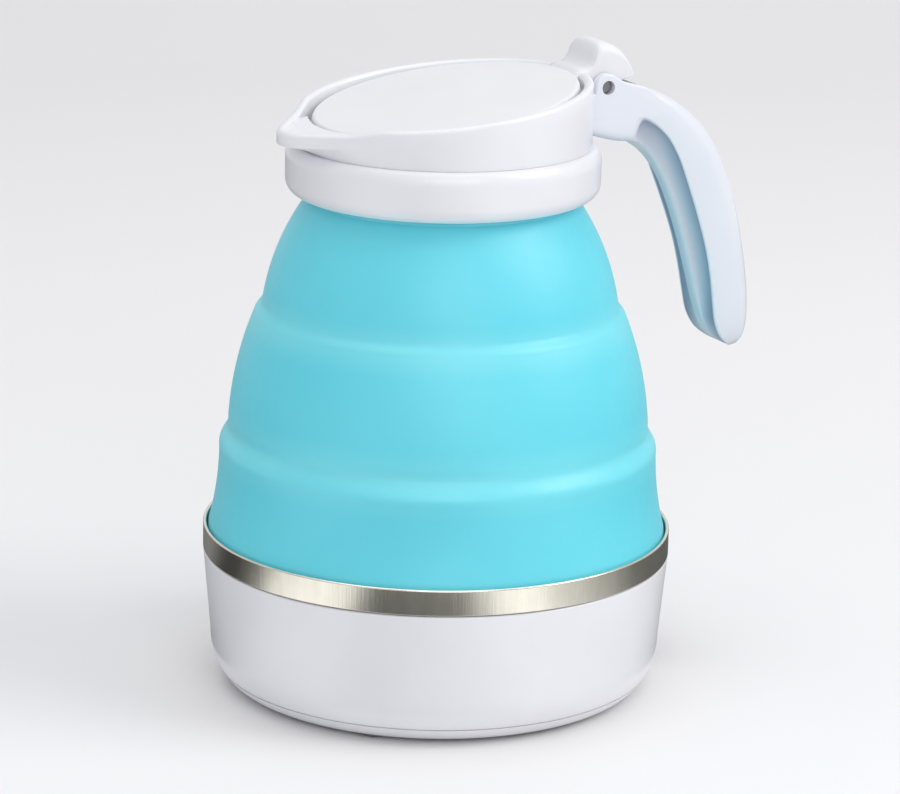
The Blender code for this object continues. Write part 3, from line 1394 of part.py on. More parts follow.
def make_switch_terminals():
    back = SWITCH_FACE - SWITCH_BODY_DEPTH - CLEARANCE
    for name, side in (("lower", -1), ("upper", 1)):
        height = SWITCH_HEIGHT - TERMINAL_DROP + side * TERMINAL_SPREAD
        block(
            f"{name}_terminal",
            (back - TERMINAL_LENGTH, -TERMINAL_WIDTH / 2, height - TERMINAL_THICKNESS / 2),
            (back, TERMINAL_WIDTH / 2, height + TERMINAL_THICKNESS / 2), brass,
            matrix=turned_about_z(SWITCH_ANGLE),
        )


def make_heater_plate():
    top = PAN_FLOOR - CLEARANCE
    return rod("heater_plate", PLATE_RADIUS, plate_bottom, top, material=aluminium, sides=TURN_STEPS)


def tube(name, points, radius, material, resolution):
    """A round tube along points, with flat ends."""
    curve = bpy.data.curves.new(name, "CURVE")
    curve.dimensions = "3D"
    curve.bevel_depth = radius
    curve.bevel_resolution = resolution
    curve.use_fill_caps = True
    spline = curve.splines.new("POLY")
    spline.points.add(len(points) - 1)
    for point, place_of in zip(spline.points, points):
        point.co = (*place_of, 1.0)
    return place(name, curve, material)


def make_heating_element():
    height = below_plate - ELEMENT_RADIUS
    sweep = 2 * pi - 2 * ELEMENT_GAP_ANGLE
    points = []
    for i in range(ELEMENT_POINTS):
        angle = ELEMENT_GAP_ANGLE + sweep * i / (ELEMENT_POINTS - 1)
        points.append((*on_circle(ELEMENT_CIRCLE, angle), height))
    return tube("heating_element", points, ELEMENT_RADIUS, plain_steel, 2)


def element_pin_end(side):
    """Start and end of a cold pin, which runs on from the element's end. side is 1 or -1, for +Y or -Y."""
    x, y = on_circle(ELEMENT_CIRCLE, side * ELEMENT_GAP_ANGLE)
    along = Vector((sin(ELEMENT_GAP_ANGLE), -side * cos(ELEMENT_GAP_ANGLE), 0.0))
    start = Vector((x, y, below_plate - ELEMENT_RADIUS)) + along * CLEARANCE
    return start, start + along * ELEMENT_PIN_LENGTH


def make_element_pins():
    for name, side in (("neutral", -1), ("live", 1)):
        start, end = element_pin_end(side)
        turn = (end - start).to_track_quat("Z", "Y").to_matrix().to_4x4()
        rod(
            f"{name}_element_pin", ELEMENT_PIN_RADIUS, 0.0, ELEMENT_PIN_LENGTH, material=brass,
            matrix=Matrix.Translation(start) @ turn,
        )


def make_thermostat():
    bottom = below_plate - THERMOSTAT_HEIGHT
    body = rod(
        "thermostat", THERMOSTAT_RADIUS, bottom, below_plate, material=black_plastic, sides=2 * SMALL_STEPS,
    )
    ears = block(
        "thermostat_ears", (-THERMOSTAT_EAR_WIDTH / 2, -THERMOSTAT_EAR, below_plate - THERMOSTAT_EAR_SHEET),
        (THERMOSTAT_EAR_WIDTH / 2, THERMOSTAT_EAR, below_plate - MERGE_DISTANCE), group=cutters,
    )
    reach = THERMOSTAT_RADIUS + THERMOSTAT_TAB
    tabs = block(
        "thermostat_tabs", (-reach, -TERMINAL_WIDTH / 2, bottom + TERMINAL_THICKNESS),
        (reach, TERMINAL_WIDTH / 2, bottom + 2 * TERMINAL_THICKNESS), group=cutters,
    )
    return join(body, ears, tabs)


def make_thermal_fuse():
    at = Matrix.Translation((FUSE_X, 0.0, below_plate - FUSE_RADIUS)) @ Matrix.Rotation(pi / 2, 4, "X")
    half = FUSE_LENGTH / 2
    return rod("thermal_fuse", FUSE_RADIUS, -half, half, material=white_sleeve, matrix=at)


def smooth_route(points):
    """Points along a smooth curve through a wire's own points, with a short straight run at each end."""
    route = [points[0]]
    for a, b, c, d in zip(points, points[1:], points[2:], points[3:]):
        for i in range(WIRE_POINTS):
            t = i / WIRE_POINTS
            route.append(
                0.5 * (2 * b + (c - a) * t + (2 * a - 5 * b + 4 * c - d) * t * t)
                + 0.5 * (3 * b - a - 3 * c + d) * t ** 3
            )
    route += [points[-2], points[-1]]
    return route


def wire(name, points, material):
    return tube(name, smooth_route([Vector(p) for p in points]), WIRE_RADIUS, material, 1)


def make_wires():
    gap = 2 * CLEARANCE
    tail = inlet_face - INLET_DEPTH - INLET_BACK - BLADE_TAIL - gap
    (live_y, blade_z), _, (_, earth_z) = blade_places()
    switch_x, switch_y = on_circle(terminal_tip() - gap, SWITCH_ANGLE)
    upper = SWITCH_HEIGHT - TERMINAL_DROP + TERMINAL_SPREAD
    lower = SWITCH_HEIGHT - TERMINAL_DROP - TERMINAL_SPREAD
    tab_x = THERMOSTAT_RADIUS + THERMOSTAT_TAB + gap
    tab_z = below_plate - THERMOSTAT_HEIGHT + 1.5 * TERMINAL_THICKNESS
    fuse_z = below_plate - FUSE_RADIUS
    fuse_y = FUSE_LENGTH / 2 + gap
    wire("live_wire", [
        (tail, live_y, blade_z),
        (tail - WIRE_BEND, live_y + WIRE_STEP / 2, blade_z - WIRE_STEP / 4),
        (tail - 2 * WIRE_BEND, live_y + 2 * WIRE_BEND, blade_z),
        (switch_x - 2 * WIRE_BEND, switch_y - WIRE_BEND, upper),
        (switch_x - WIRE_BEND, switch_y - WIRE_BEND * 0.7, upper),
        (switch_x, switch_y, upper),
    ], brown_sleeve)
    wire("switched_wire", [
        (switch_x, switch_y, lower),
        (switch_x - WIRE_BEND, switch_y - WIRE_BEND * 0.7, lower),
        (tab_x + 2 * WIRE_BEND, WIRE_BEND * 3.2, lower - WIRE_STEP / 2),
        (tab_x + WIRE_BEND, 0.0, tab_z),
        (tab_x, 0.0, tab_z),
    ], brown_sleeve)
    wire("fuse_wire", [
        (-tab_x, 0.0, tab_z),
        (-tab_x - WIRE_BEND, 0.0, tab_z),
        (FUSE_X - WIRE_STEP, -fuse_y - WIRE_BEND, (tab_z + fuse_z) / 2),
        (FUSE_X, -fuse_y - WIRE_BEND / 2, fuse_z),
        (FUSE_X, -fuse_y, fuse_z),
    ], white_sleeve)
    pin_gap = gap + WIRE_RADIUS + ELEMENT_PIN_RADIUS
    ends = {side: element_pin_end(side)[1] for side in (-1, 1)}
    wire("element_wire", [
        (FUSE_X, fuse_y, fuse_z),
        (FUSE_X, fuse_y + WIRE_BEND / 2, fuse_z),
        (FUSE_X + WIRE_BEND, fuse_y + 2 * WIRE_BEND, tab_z),
        (0.0, fuse_y + 3 * WIRE_BEND, tab_z - WIRE_STEP),
        (ends[1].x - 3 * WIRE_BEND, fuse_y + WIRE_BEND, tab_z - WIRE_STEP),
        (ends[1].x - WIRE_BEND, ends[1].y, ends[1].z - pin_gap),
        (ends[1].x, ends[1].y, ends[1].z - pin_gap),
    ], white_sleeve)
    wire("neutral_wire", [
        (tail, -live_y, blade_z),
        (tail - WIRE_BEND / 2, -live_y, blade_z),
        (tail - WIRE_BEND, ends[-1].y, (blade_z + ends[-1].z) / 2),
        (ends[-1].x - WIRE_BEND / 2, ends[-1].y, ends[-1].z - pin_gap),
    ], blue_sleeve)
    stud_x, stud_y = on_circle(STUD_CIRCLE, STUD_ANGLES[2])
    wire("earth_wire", [
        (tail, 0.0, earth_z),
        (tail - WIRE_BEND, 0.0, earth_z - WIRE_STEP / 2),
        (tail - 2 * WIRE_BEND, -WIRE_BEND, blade_z - WIRE_STEP),
        (tail - WIRE_BEND, -live_y - 2 * WIRE_BEND, blade_z - 2 * WIRE_STEP),
        (stud_x, stud_y + 4 * WIRE_BEND, (nut_bottom + nut_top) / 2),
        (stud_x, stud_y + NUT_RADIUS + gap, (nut_bottom + nut_top) / 2),
    ], green_sleeve)


def build():
    make_base_shell()
    make_bottom_cover()
    make_cover_screws()
    make_rubber_feet()
    make_steel_pan()
    make_pan_nuts()
    make_steel_band()
    make_silicone_lower()
    make_silicone_middle()
    make_silicone_upper()
    make_heater_plate()
    make_heating_element()
    make_element_pins()
    make_thermostat()
    make_thermal_fuse()
    make_inlet_socket()
    make_inlet_pins()
    make_switch_housing()
    make_switch_rocker()
    make_switch_terminals()
    make_indicator_lens()
    make_wires()
    make_collar()
    make_neck_ring()
    make_spout_rim()
    make_handle()
    make_handle_screws()
    make_hinge_pin()
    hang_on_pin((make_lid_cover(), make_lid_liner(), make_lid_gasket()))


build()
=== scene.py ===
"""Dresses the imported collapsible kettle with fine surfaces, materials, a pale studio and the camera.

Lengths are in metres and angles in radians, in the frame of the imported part: +Z up, +X to the handle, -X to
the spout, the bottom cover's underside at z = 0.
"""

from math import acos, atan, atan2, cos, pi, radians, sin, sqrt

import bmesh
import bpy
from mathutils import Matrix, Vector
from mathutils.kdtree import KDTree


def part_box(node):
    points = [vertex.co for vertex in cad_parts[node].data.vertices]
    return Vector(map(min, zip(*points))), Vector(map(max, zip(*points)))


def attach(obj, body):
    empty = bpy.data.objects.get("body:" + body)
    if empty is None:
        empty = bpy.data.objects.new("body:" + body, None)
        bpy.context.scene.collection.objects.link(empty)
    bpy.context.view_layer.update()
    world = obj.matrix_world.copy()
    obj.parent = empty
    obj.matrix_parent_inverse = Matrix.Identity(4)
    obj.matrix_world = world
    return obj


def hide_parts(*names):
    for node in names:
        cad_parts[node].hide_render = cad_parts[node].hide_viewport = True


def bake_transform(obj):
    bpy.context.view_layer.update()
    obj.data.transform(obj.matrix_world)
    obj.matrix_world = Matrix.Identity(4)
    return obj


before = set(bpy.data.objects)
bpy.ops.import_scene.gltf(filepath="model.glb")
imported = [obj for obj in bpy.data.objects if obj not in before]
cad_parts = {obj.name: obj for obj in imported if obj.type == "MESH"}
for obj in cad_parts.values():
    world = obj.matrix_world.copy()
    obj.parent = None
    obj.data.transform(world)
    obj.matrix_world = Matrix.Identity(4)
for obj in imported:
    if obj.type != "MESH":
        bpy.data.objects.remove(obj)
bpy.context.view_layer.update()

# How finely round pieces are divided
TURN_STEPS = 192
FINE_STEPS = 48
SHARP_ANGLE = radians(35)
MERGE_DISTANCE = 0.000001

# The gap between two pieces, and how far a cutting shape passes what it cuts
GAP = 0.0003
OVERRUN = 0.0020

# Base
CORNER_HEIGHT = 0.0130
CORNER_RADIUS = 0.0583
UNDERSIDE_RADIUS = 0.0500
SEAM_HEIGHT = 0.0039
BASE_EDGE = 0.0005
SEAM_LINE = 0.00012
BASE_WALL = 0.0022
COVER_EDGE = 0.0002
INLET_SEAT = 0.0542
SWITCH_ANGLE = radians(35)
SWITCH_FACE = 0.0562
SWITCH_HEIGHT = 0.0165
SWITCH_FRAME_WIDTH = 0.0150
SWITCH_FRAME_HEIGHT = 0.0210
SWITCH_FRAME = 0.0018
LENS_ANGLE = radians(21.5)
LENS_HEIGHT = 0.0165
LENS_RADIUS = 0.0022

# Steel band
BAND_WALL = 0.0009
BAND_FLANGE = 0.0007

# Pan
PAN_SHEET = 0.0006
PAN_CORNER = 0.0060
PAN_STEP_RADIUS = 0.0345
PAN_STEP = 0.0004
PAN_STUD_RADIUS = 0.00176

# Silicone body. A tier's bulge is how far its wall swells out between foot and top. The sag of a shoulder
# between two tiers is a share of its height, and its sway is divided by its own peak.
SILICONE_WALL = 0.0022
BEAD_HEIGHT = 0.0024
TIER_ONE_FOOT_RADIUS = 0.0589
TIER_ONE_FOOT = 0.0415
TIER_ONE_TOP_RADIUS = 0.0563
TIER_ONE_TOP = 0.0592
TIER_ONE_BULGE = -0.0005
TIER_TWO_FOOT_RADIUS = 0.0538
TIER_TWO_FOOT = 0.0716
TIER_TWO_TOP_RADIUS = 0.0480
TIER_TWO_TOP = 0.0960
TIER_TWO_BULGE = 0.0009
TIER_THREE_FOOT_RADIUS = 0.0453
TIER_THREE_FOOT = 0.1013
TIER_THREE_TOP_RADIUS = 0.0345
TIER_THREE_TOP = 0.1270
TIER_THREE_BULGE = 0.0016
SHOULDER_SAG_SHARE = 0.04
SHOULDER_SAG_PEAK = 1.3
FOLD_SHIFT = 0.0010
FOLD_CORE = 0.0010
LOWER_FOLD_HEIGHT = (TIER_ONE_TOP + TIER_TWO_FOOT) / 2 + FOLD_SHIFT
LOWER_FOLD_REACH = 0.0085
UPPER_FOLD_HEIGHT = (TIER_TWO_TOP + TIER_THREE_FOOT) / 2 - FOLD_SHIFT
UPPER_FOLD_REACH = 0.0060

# Collar
COLLAR_FOOT_ROUND = 0.0040
COLLAR_SHOULDER_WIDTH = 0.0021
COLLAR_SHOULDER_HEIGHT = 0.0035

# Rim and spout
RIM_RADIUS = 0.0375
RIM_WALL = 0.0025
RIM_BORE = 0.0332
RIM_HEIGHT = 0.1537
RIM_SLOPE = 0.121
RIM_BOTTOM = 0.14125
RIM_SPIGOT = 0.0367
RIM_CREST = 0.0010
SEAT_RADIUS = 0.0344
SPOUT_REACH = 0.0453
SPOUT_TIP_RADIUS = 0.0106
SPOUT_STEP = 0.0012
SPOUT_STEP_START = 0.0270
SPOUT_STEP_LENGTH = 0.0080
SPOUT_LIP = 0.0034
SPOUT_LENGTH = SPOUT_REACH - RIM_RADIUS
CHUTE_DEPTH = 0.0010
CHUTE_SLOPE = 4.0
CHUTE_FILLET = 0.0002
SPOUT_FLARE_POWER = 1.6

# Points round the rim, and how much closer they lie at the spout than at the hinge
RIM_ANGLES = 240
RIM_CROWDING = 0.42

# The rim's notch for the lid's arm
NOTCH_HALF_WIDTH = 0.0080
NOTCH_FLOOR = 0.1496

# Lid
LID_RADIUS = 0.0340
LID_CENTRE = 0.0002
LID_HEIGHT = 0.1526
LID_SLOPE = 0.162
LID_THICKNESS = 0.0030
LID_SKIN = 0.0016
LID_ROUND = 0.0010

# Lid hinge and thumb tab
PIN_X = 0.0414
PIN_HEIGHT = 0.1542
PIN_HOLE = 0.0018
KNUCKLE_RADIUS = 0.0036
KNUCKLE_HALF_WIDTH = 0.0077
KNUCKLE_START = radians(215)
KNUCKLE_END = radians(370)
TAB_HEIGHT = 0.0110
TAB_BACK = 0.0091

# The tab's outline from its tip over the handle to the lid, as shares of TAB_BACK and TAB_HEIGHT
TAB_SHARES = (
    (1.00, 0.23), (0.92, 0.44), (0.79, 0.64), (0.59, 0.84), (0.30, 0.96), (0.05, 1.00), (-0.10, 0.96),
    (-0.20, 0.84), (-0.27, 0.68), (-0.36, 0.54), (-0.52, 0.44), (-0.74, 0.39),
)
TAB_EDGE = 0.0005
TAB_SHOULDER_SHARE = 0.76

# Handle. Its outlines run from the root to the tip, as shares that handle_point explains. Each station also
# has its share of the width and the share of its depth at which the cove begins.
HANDLE_ROOT = 0.0370
HANDLE_REACH = 0.0522
HANDLE_TOP = 0.1540
HANDLE_ROOT_BOTTOM = 0.1418
HANDLE_FALL = 0.0613
HANDLE_WIDTH = 0.0210
HANDLE_RIDGE_SHARE = 0.26
HANDLE_RIDGE_ROUND = 0.0012
HANDLE_UNDERCUT = 0.0015
COVE_RUN = 1.7
SLIM_RUN = 6.0
HANDLE_DENT = 0.0020
HANDLE_SQUARENESS = 2.7
HANDLE_ROOT_SQUARENESS = 6.0
HANDLE_STATIONS = 8
HANDLE_BACK_STEPS = 16
HANDLE_EDGE_STEPS = 3
HANDLE_COVE_STEPS = 24
COVE_SPAN = 0.75
COVE_POWER = 0.8
# How the painted shade in the handle's cove fades away from the edge
COVE_SHADE_POWER = 0.9
HANDLE_COVE_EDGE = 0.0005
COVE_START = 1.7
HANDLE_BACK_SHARES = (
    (-0.030, 0.060), (0.177, 0.005), (0.294, 0.050), (0.332, 0.088), (0.371, 0.140), (0.437, 0.252),
    (0.517, 0.434), (0.614, 0.717), (0.711, 1.026), (0.797, 1.139), (0.861, 1.261), (0.908, 1.388),
    (0.945, 1.518), (0.977, 1.650), (0.995, 1.765), (0.999, 1.866), (0.987, 1.940), (0.968, 1.978),
)
HANDLE_FRONT_SHARES = (
    (-0.030, 0.951), (0.139, 1.032), (0.234, 1.043), (0.265, 1.052), (0.295, 1.060), (0.344, 1.083),
    (0.401, 1.120), (0.461, 1.183), (0.517, 1.265), (0.568, 1.366), (0.611, 1.468), (0.649, 1.571),
    (0.684, 1.676), (0.720, 1.779), (0.762, 1.868), (0.815, 1.936), (0.870, 1.975), (0.905, 1.990),
)
HANDLE_WIDTH_SHARES = (
    1.000, 1.000, 1.000, 1.000, 1.000, 1.000, 1.000, 0.990, 0.970, 0.940, 0.910, 0.880, 0.850, 0.810,
    0.770, 0.690, 0.540, 0.360,
)
HANDLE_COVE_SHARES = (
    0.560, 0.540, 0.525, 0.520, 0.537, 0.577, 0.644, 0.737, 0.815, 0.842, 0.844, 0.840, 0.855, 0.900,
    0.965, 1.000, 1.000, 1.000,
)
HANDLE_TIP_SHARES = (0.25, 0.50, 0.75, 0.92)
EAR_RADIUS = 0.0035
EAR_END = radians(55)
EAR_WALL = 0.0025
EAR_SHOULDER = 0.0014
SLOT_BACK = 0.0112
SLOT_FLOOR = 0.1458
HANDLE_EDGE = 0.0006
HANDLE_SCREW_SPREAD = 0.0060
HANDLE_SCREW_HEIGHT = 0.1437
HANDLE_SCREW_HOLE = 0.0024
HANDLE_SCREW_DEPTH = 0.0012

# Camera and studio. A card's tone is given at each angle, in degrees, round the kettle.
CAMERA_PLACE = (-0.4290, -0.8419, 0.3292)
CAMERA_DIRECTION = (0.44106, 0.85895, -0.26017)
CAMERA_ROLL = radians(1.2)
CAMERA_LENS = 152.28
TABLE_HEIGHT = -0.0008
STAGE_HALF = 3.0
STAGE_FRONT = -1.6
STAGE_BACK = 1.8
STAGE_SWEEP = 0.9
STAGE_TOP = 3.0
CARD_INNER = 0.066
CARD_OUTER = 0.90
CARD_TONES = (
    (20.0, 0.10), (60.0, 0.45), (90.0, 0.15), (118.0, 0.22), (136.0, 0.04), (150.0, 0.06), (162.0, 0.24),
    (172.0, 0.82), (186.0, 0.96), (198.0, 1.00), (206.0, 0.90), (212.0, 0.36), (217.0, 0.11), (228.0, 0.13),
    (245.0, 0.15), (255.0, 0.20), (263.0, 0.52), (272.0, 0.92), (281.0, 1.00), (288.0, 0.92), (297.0, 0.62),
    (308.0, 0.52), (320.0, 0.38), (332.0, 0.22), (345.0, 0.12),
)

helpers = bpy.data.collections.new("helpers")
bpy.context.scene.collection.children.link(helpers)
dressing = bpy.data.collections.new("dressing")
bpy.context.scene.collection.children.link(dressing)


def low_of(node):
    return Vector(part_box(node)[0])


def high_of(node):
    return Vector(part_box(node)[1])


def shade(mesh):
    mesh.shade_smooth()
    mesh.set_sharp_from_angle(angle=SHARP_ANGLE)


def place(name, mesh, material=None, group=None):
    obj = bpy.data.objects.new(name, mesh)
    (group or dressing).objects.link(obj)
    if material:
        mesh.materials.append(material)
    return obj


def mesh_from(bm, name):
    bmesh.ops.recalc_face_normals(bm, faces=bm.faces)
    mesh = bpy.data.meshes.new(name)
    bm.to_mesh(mesh)
    bm.free()
    shade(mesh)
    return mesh


def skin(name, rings, looped=False):
    """A mesh through rings with the same number of points, capped at both ends or closed to a loop."""
    bm = bmesh.new()
    rows = [[bm.verts.new(point) for point in ring] for ring in rings]
    pairs = list(zip(rows, rows[1:]))
    if looped:
        pairs.append((rows[-1], rows[0]))
    for first, second in pairs:
        for i in range(len(first)):
            j = (i + 1) % len(first)
            bm.faces.new((first[i], first[j], second[j], second[i]))
    if not looped:
        bm.faces.new(rows[0])
        bm.faces.new(list(reversed(rows[-1])))
    return mesh_from(bm, name)


def turned(name, outline, open_at_axis=False):
    """A mesh of (radius, height) points turned round Z."""
    bm = bmesh.new()
    points = [bm.verts.new((r, 0.0, z)) for r, z in outline]
    edges = [bm.edges.new(pair) for pair in zip(points, points[1:])]
    if not open_at_axis:
        edges.append(bm.edges.new((points[-1], points[0])))
    bmesh.ops.spin(
        bm, geom=points + edges, cent=(0.0, 0.0, 0.0), axis=(0.0, 0.0, 1.0), angle=2 * pi,
        steps=TURN_STEPS, use_merge=True,
    )
    bmesh.ops.remove_doubles(bm, verts=bm.verts, dist=MERGE_DISTANCE)
    return mesh_from(bm, name)


def box_cutter(name, low, high, matrix=None):
    """A box between two corners, moved by a matrix, that cut() takes away."""
    bm = bmesh.new()
    size = [end - start for start, end in zip(low, high)]
    centre = [(end + start) / 2 for start, end in zip(low, high)]
    bmesh.ops.create_cube(bm, size=1.0, matrix=Matrix.Translation(centre) @ Matrix.Diagonal((*size, 1.0)))
    mesh = mesh_from(bm, name)
    if matrix:
        mesh.transform(matrix)
    return hidden(name, mesh)


def rod_cutter(name, radius, low, high, matrix):
    """A round rod along Z between two heights, moved by a matrix, that cut() takes away or adds."""
    bm = bmesh.new()
    bmesh.ops.create_cone(
        bm, cap_ends=True, segments=FINE_STEPS, radius1=radius, radius2=radius, depth=high - low,
        matrix=matrix @ Matrix.Translation((0.0, 0.0, (low + high) / 2)),
    )
    return hidden(name, mesh_from(bm, name))


def hidden(name, mesh):
    """A helping shape that is not seen itself."""
    obj = place(name, mesh, group=helpers)
    obj.hide_render = True
    obj.display_type = "WIRE"
    return obj


def settle(obj):
    """Applies the object's modifiers to its mesh."""
    bpy.context.view_layer.update()
    mesh = bpy.data.meshes.new_from_object(obj.evaluated_get(bpy.context.evaluated_depsgraph_get()))
    shade(mesh)
    obj.modifiers.clear()
    obj.data = mesh


def cut(obj, *others, operation="DIFFERENCE"):
    """Takes the other shapes away from the object, or adds them to it."""
    for other in others:
        boolean = obj.modifiers.new(other.name, "BOOLEAN")
        boolean.operation = operation
        boolean.solver = "EXACT"
        boolean.object = other
    settle(obj)
    for other in others:
        bpy.data.objects.remove(other, do_unlink=True)


def bowed(start, end, bulge, count):
    """Points from start to end along a shallow arc that swells by bulge to the right of its way up."""
    along = Vector(end) - Vector(start)
    side = Vector((along.y, -along.x)).normalized()
    return [
        tuple(Vector(start) + along * (i / count) + side * (bulge * 4 * (i / count) * (1 - i / count)))
        for i in range(count + 1)
    ]


def arc(centre, half_width, half_height, start, end, count):
    """Points of an ellipse's arc round a centre, from one angle to another."""
    return [
        (centre[0] + half_width * cos(start + (end - start) * i / count),
         centre[1] + half_height * sin(start + (end - start) * i / count))
        for i in range(count + 1)
    ]


def smooth_step(value):
    t = min(max(value, 0.0), 1.0)
    return t * t * (3 - 2 * t)


def through(points, count):
    """A smooth line through points, each stretch divided by count."""
    points = [Vector(p) for p in points]
    ends = [2 * points[0] - points[1], *points, 2 * points[-1] - points[-2]]
    line = []
    for a, b, c, d in zip(ends, ends[1:], ends[2:], ends[3:]):
        for i in range(count):
            t = i / count
            bend = 2 * a - 5 * b + 4 * c - d
            twist = 3 * b - a - 3 * c + d
            line.append(0.5 * (2 * b + (c - a) * t + bend * t * t + twist * t ** 3))
    line.append(points[-1])
    return line


def base_corner(top, bottom, count):
    """Points down the base's rounded corner, from one height to another."""
    first = acos((CORNER_HEIGHT - top) / CORNER_HEIGHT)
    last = acos((CORNER_HEIGHT - bottom) / CORNER_HEIGHT)
    points = []
    for i in range(count + 1):
        a = first + (last - first) * i / count
        radius = UNDERSIDE_RADIUS + (CORNER_RADIUS - UNDERSIDE_RADIUS) * sin(a)
        points.append((radius, CORNER_HEIGHT * (1 - cos(a))))
    return points


# Materials


class Nodes:
    """A material's node tree with short ways to add to it."""

    def __init__(self, name):
        self.material = bpy.data.materials.new(name)
        self.material.use_nodes = True
        self.tree = self.material.node_tree
        self.shader = self.tree.nodes["Principled BSDF"]

    def add(self, kind, **values):
        node = self.tree.nodes.new(kind)
        for key, value in values.items():
            setattr(node, key, value)
        return node

    def link(self, source, target):
        self.tree.links.new(source, target)

    def coordinates(self):
        return self.add("ShaderNodeTexCoord").outputs["Object"]

    def stretched(self, scale):
        mapping = self.add("ShaderNodeMapping")
        mapping.inputs["Scale"].default_value = scale
        self.link(self.coordinates(), mapping.inputs["Vector"])
        return mapping.outputs["Vector"]

    def noise(self, vector, scale, detail=3.0, roughness=0.5):
        texture = self.add("ShaderNodeTexNoise")
        texture.inputs["Scale"].default_value = scale
        texture.inputs["Detail"].default_value = detail
        texture.inputs["Roughness"].default_value = roughness
        self.link(vector, texture.inputs["Vector"])
        return texture.outputs["Fac"]

    def ranged(self, value, low, high, start=0.3, end=0.7):
        node = self.add("ShaderNodeMapRange")
        node.inputs["From Min"].default_value = start
        node.inputs["From Max"].default_value = end
        node.inputs["To Min"].default_value = low
        node.inputs["To Max"].default_value = high
        self.link(value, node.inputs["Value"])
        return node.outputs["Result"]

    def mixed(self, share, first, second):
        node = self.add("ShaderNodeMix", data_type="RGBA")
        self.link(share, node.inputs["Factor"])
        for value, socket in ((first, node.inputs["A"]), (second, node.inputs["B"])):
            if isinstance(value, tuple):
                socket.default_value = (*value, 1.0)
            else:
                self.link(value, socket)
        return node.outputs["Result"]

    def math(self, operation, first, second=None):
        node = self.add("ShaderNodeMath", operation=operation)
        for value, socket in ((first, node.inputs[0]), (second, node.inputs[1])):
            if value is None:
                continue
            if isinstance(value, (int, float)):
                socket.default_value = value
            else:
                self.link(value, socket)
        return node.outputs["Value"]

    def bump(self, height, distance, strength=1.0, under=None):
        node = self.add("ShaderNodeBump")
        node.inputs["Strength"].default_value = strength
        node.inputs["Distance"].default_value = distance
        self.link(height, node.inputs["Height"])
        if under:
            self.link(under, node.inputs["Normal"])
        return node.outputs["Normal"]

    def split(self, vector):
        node = self.add("ShaderNodeSeparateXYZ")
        self.link(vector, node.inputs["Vector"])
        return node.outputs

    def join(self, x, y, z):
        node = self.add("ShaderNodeCombineXYZ")
        for value, socket in ((x, node.inputs[0]), (y, node.inputs[1]), (z, node.inputs[2])):
            if isinstance(value, (int, float)):
                socket.default_value = value
            else:
                self.link(value, socket)
        return node.outputs["Vector"]

    def sockets(self, **values):
        for key, value in values.items():
            self.shader.inputs[key.replace("_", " ")].default_value = value

    def feed(self, **values):
        for key, value in values.items():
            self.link(value, self.shader.inputs[key.replace("_", " ")])


def moulded(name, colour, shadow, roughness, grain=0.000006, coat=0.0, scatter=0.0, cove_shade=None):
    """Moulded plastic: a faint cloudiness in its colour, uneven gloss, a fine grain and slow waves. The
    colour given for the handle's cove is painted shade, mixed in deepest beside the cove's edge."""
    n = Nodes(name)
    coords = n.coordinates()
    cloud = n.noise(coords, 38.0, 4.0)
    body = n.mixed(n.ranged(cloud, 0.0, 1.0, 0.35, 0.65), colour, shadow)
    # Painted shade: a darker colour laid into the handle's cove wherever the mesh marks it
    if cove_shade:
        depth = n.add("ShaderNodeAttribute", attribute_name="cove_shade")
        body = n.mixed(depth.outputs["Fac"], body, cove_shade)
    n.feed(Base_Color=body)
    scuff = n.noise(coords, 220.0, 5.0, 0.6)
    n.feed(Roughness=n.ranged(scuff, roughness * 0.92, roughness * 1.09))
    waves = n.bump(n.noise(coords, 26.0, 2.0), 0.00004)
    n.feed(Normal=n.bump(n.noise(coords, 1400.0, 2.0), grain, 0.5, waves))
    n.sockets(Coat_Weight=coat, Coat_Roughness=0.12, Subsurface_Weight=scatter, Subsurface_Scale=0.0015)
    n.sockets(Subsurface_Radius=(1.0, 1.0, 1.0))
    return n.material


def silicone():
    """Food silicone: a deep, slightly clouded blue, paler where the folds are thin, with a dry fine skin."""
    n = Nodes("sky_blue_silicone")
    coords = n.coordinates()
    height = n.split(coords)[2]
    cloud = n.ranged(n.noise(coords, 24.0, 3.0), 0.0, 1.0, 0.3, 0.7)
    body = n.mixed(cloud, (0.094, 0.652, 0.780), (0.112, 0.687, 0.806))
    lower = n.math("ABSOLUTE", n.math("SUBTRACT", height, LOWER_FOLD_HEIGHT))
    upper = n.math("ABSOLUTE", n.math("SUBTRACT", height, UPPER_FOLD_HEIGHT))
    near_lower = n.ranged(lower, 0.55, 0.0, FOLD_CORE, LOWER_FOLD_REACH)
    near_upper = n.ranged(upper, 0.55, 0.0, FOLD_CORE, UPPER_FOLD_REACH)
    near_fold = n.math("MAXIMUM", near_lower, near_upper)
    folds = n.math("MULTIPLY", near_fold, n.ranged(cloud, 0.75, 1.0, 0.0, 1.0))
    n.feed(Base_Color=n.mixed(folds, body, (0.215, 0.760, 0.835)))
    n.feed(Roughness=n.ranged(n.noise(coords, 420.0, 4.0, 0.65), 0.40, 0.52))
    waves = n.bump(n.noise(n.stretched((1.0, 1.0, 0.45)), 30.0, 2.0), 0.00018)
    n.feed(Normal=n.bump(n.noise(coords, 2400.0, 2.0), 0.00003, 0.5, waves))
    n.sockets(Subsurface_Weight=0.25, Subsurface_Scale=0.0040, Subsurface_Radius=(0.30, 0.85, 1.0))
    n.sockets(Sheen_Weight=0.14, Sheen_Roughness=0.35, Specular_IOR_Level=1.0)
    return n.material


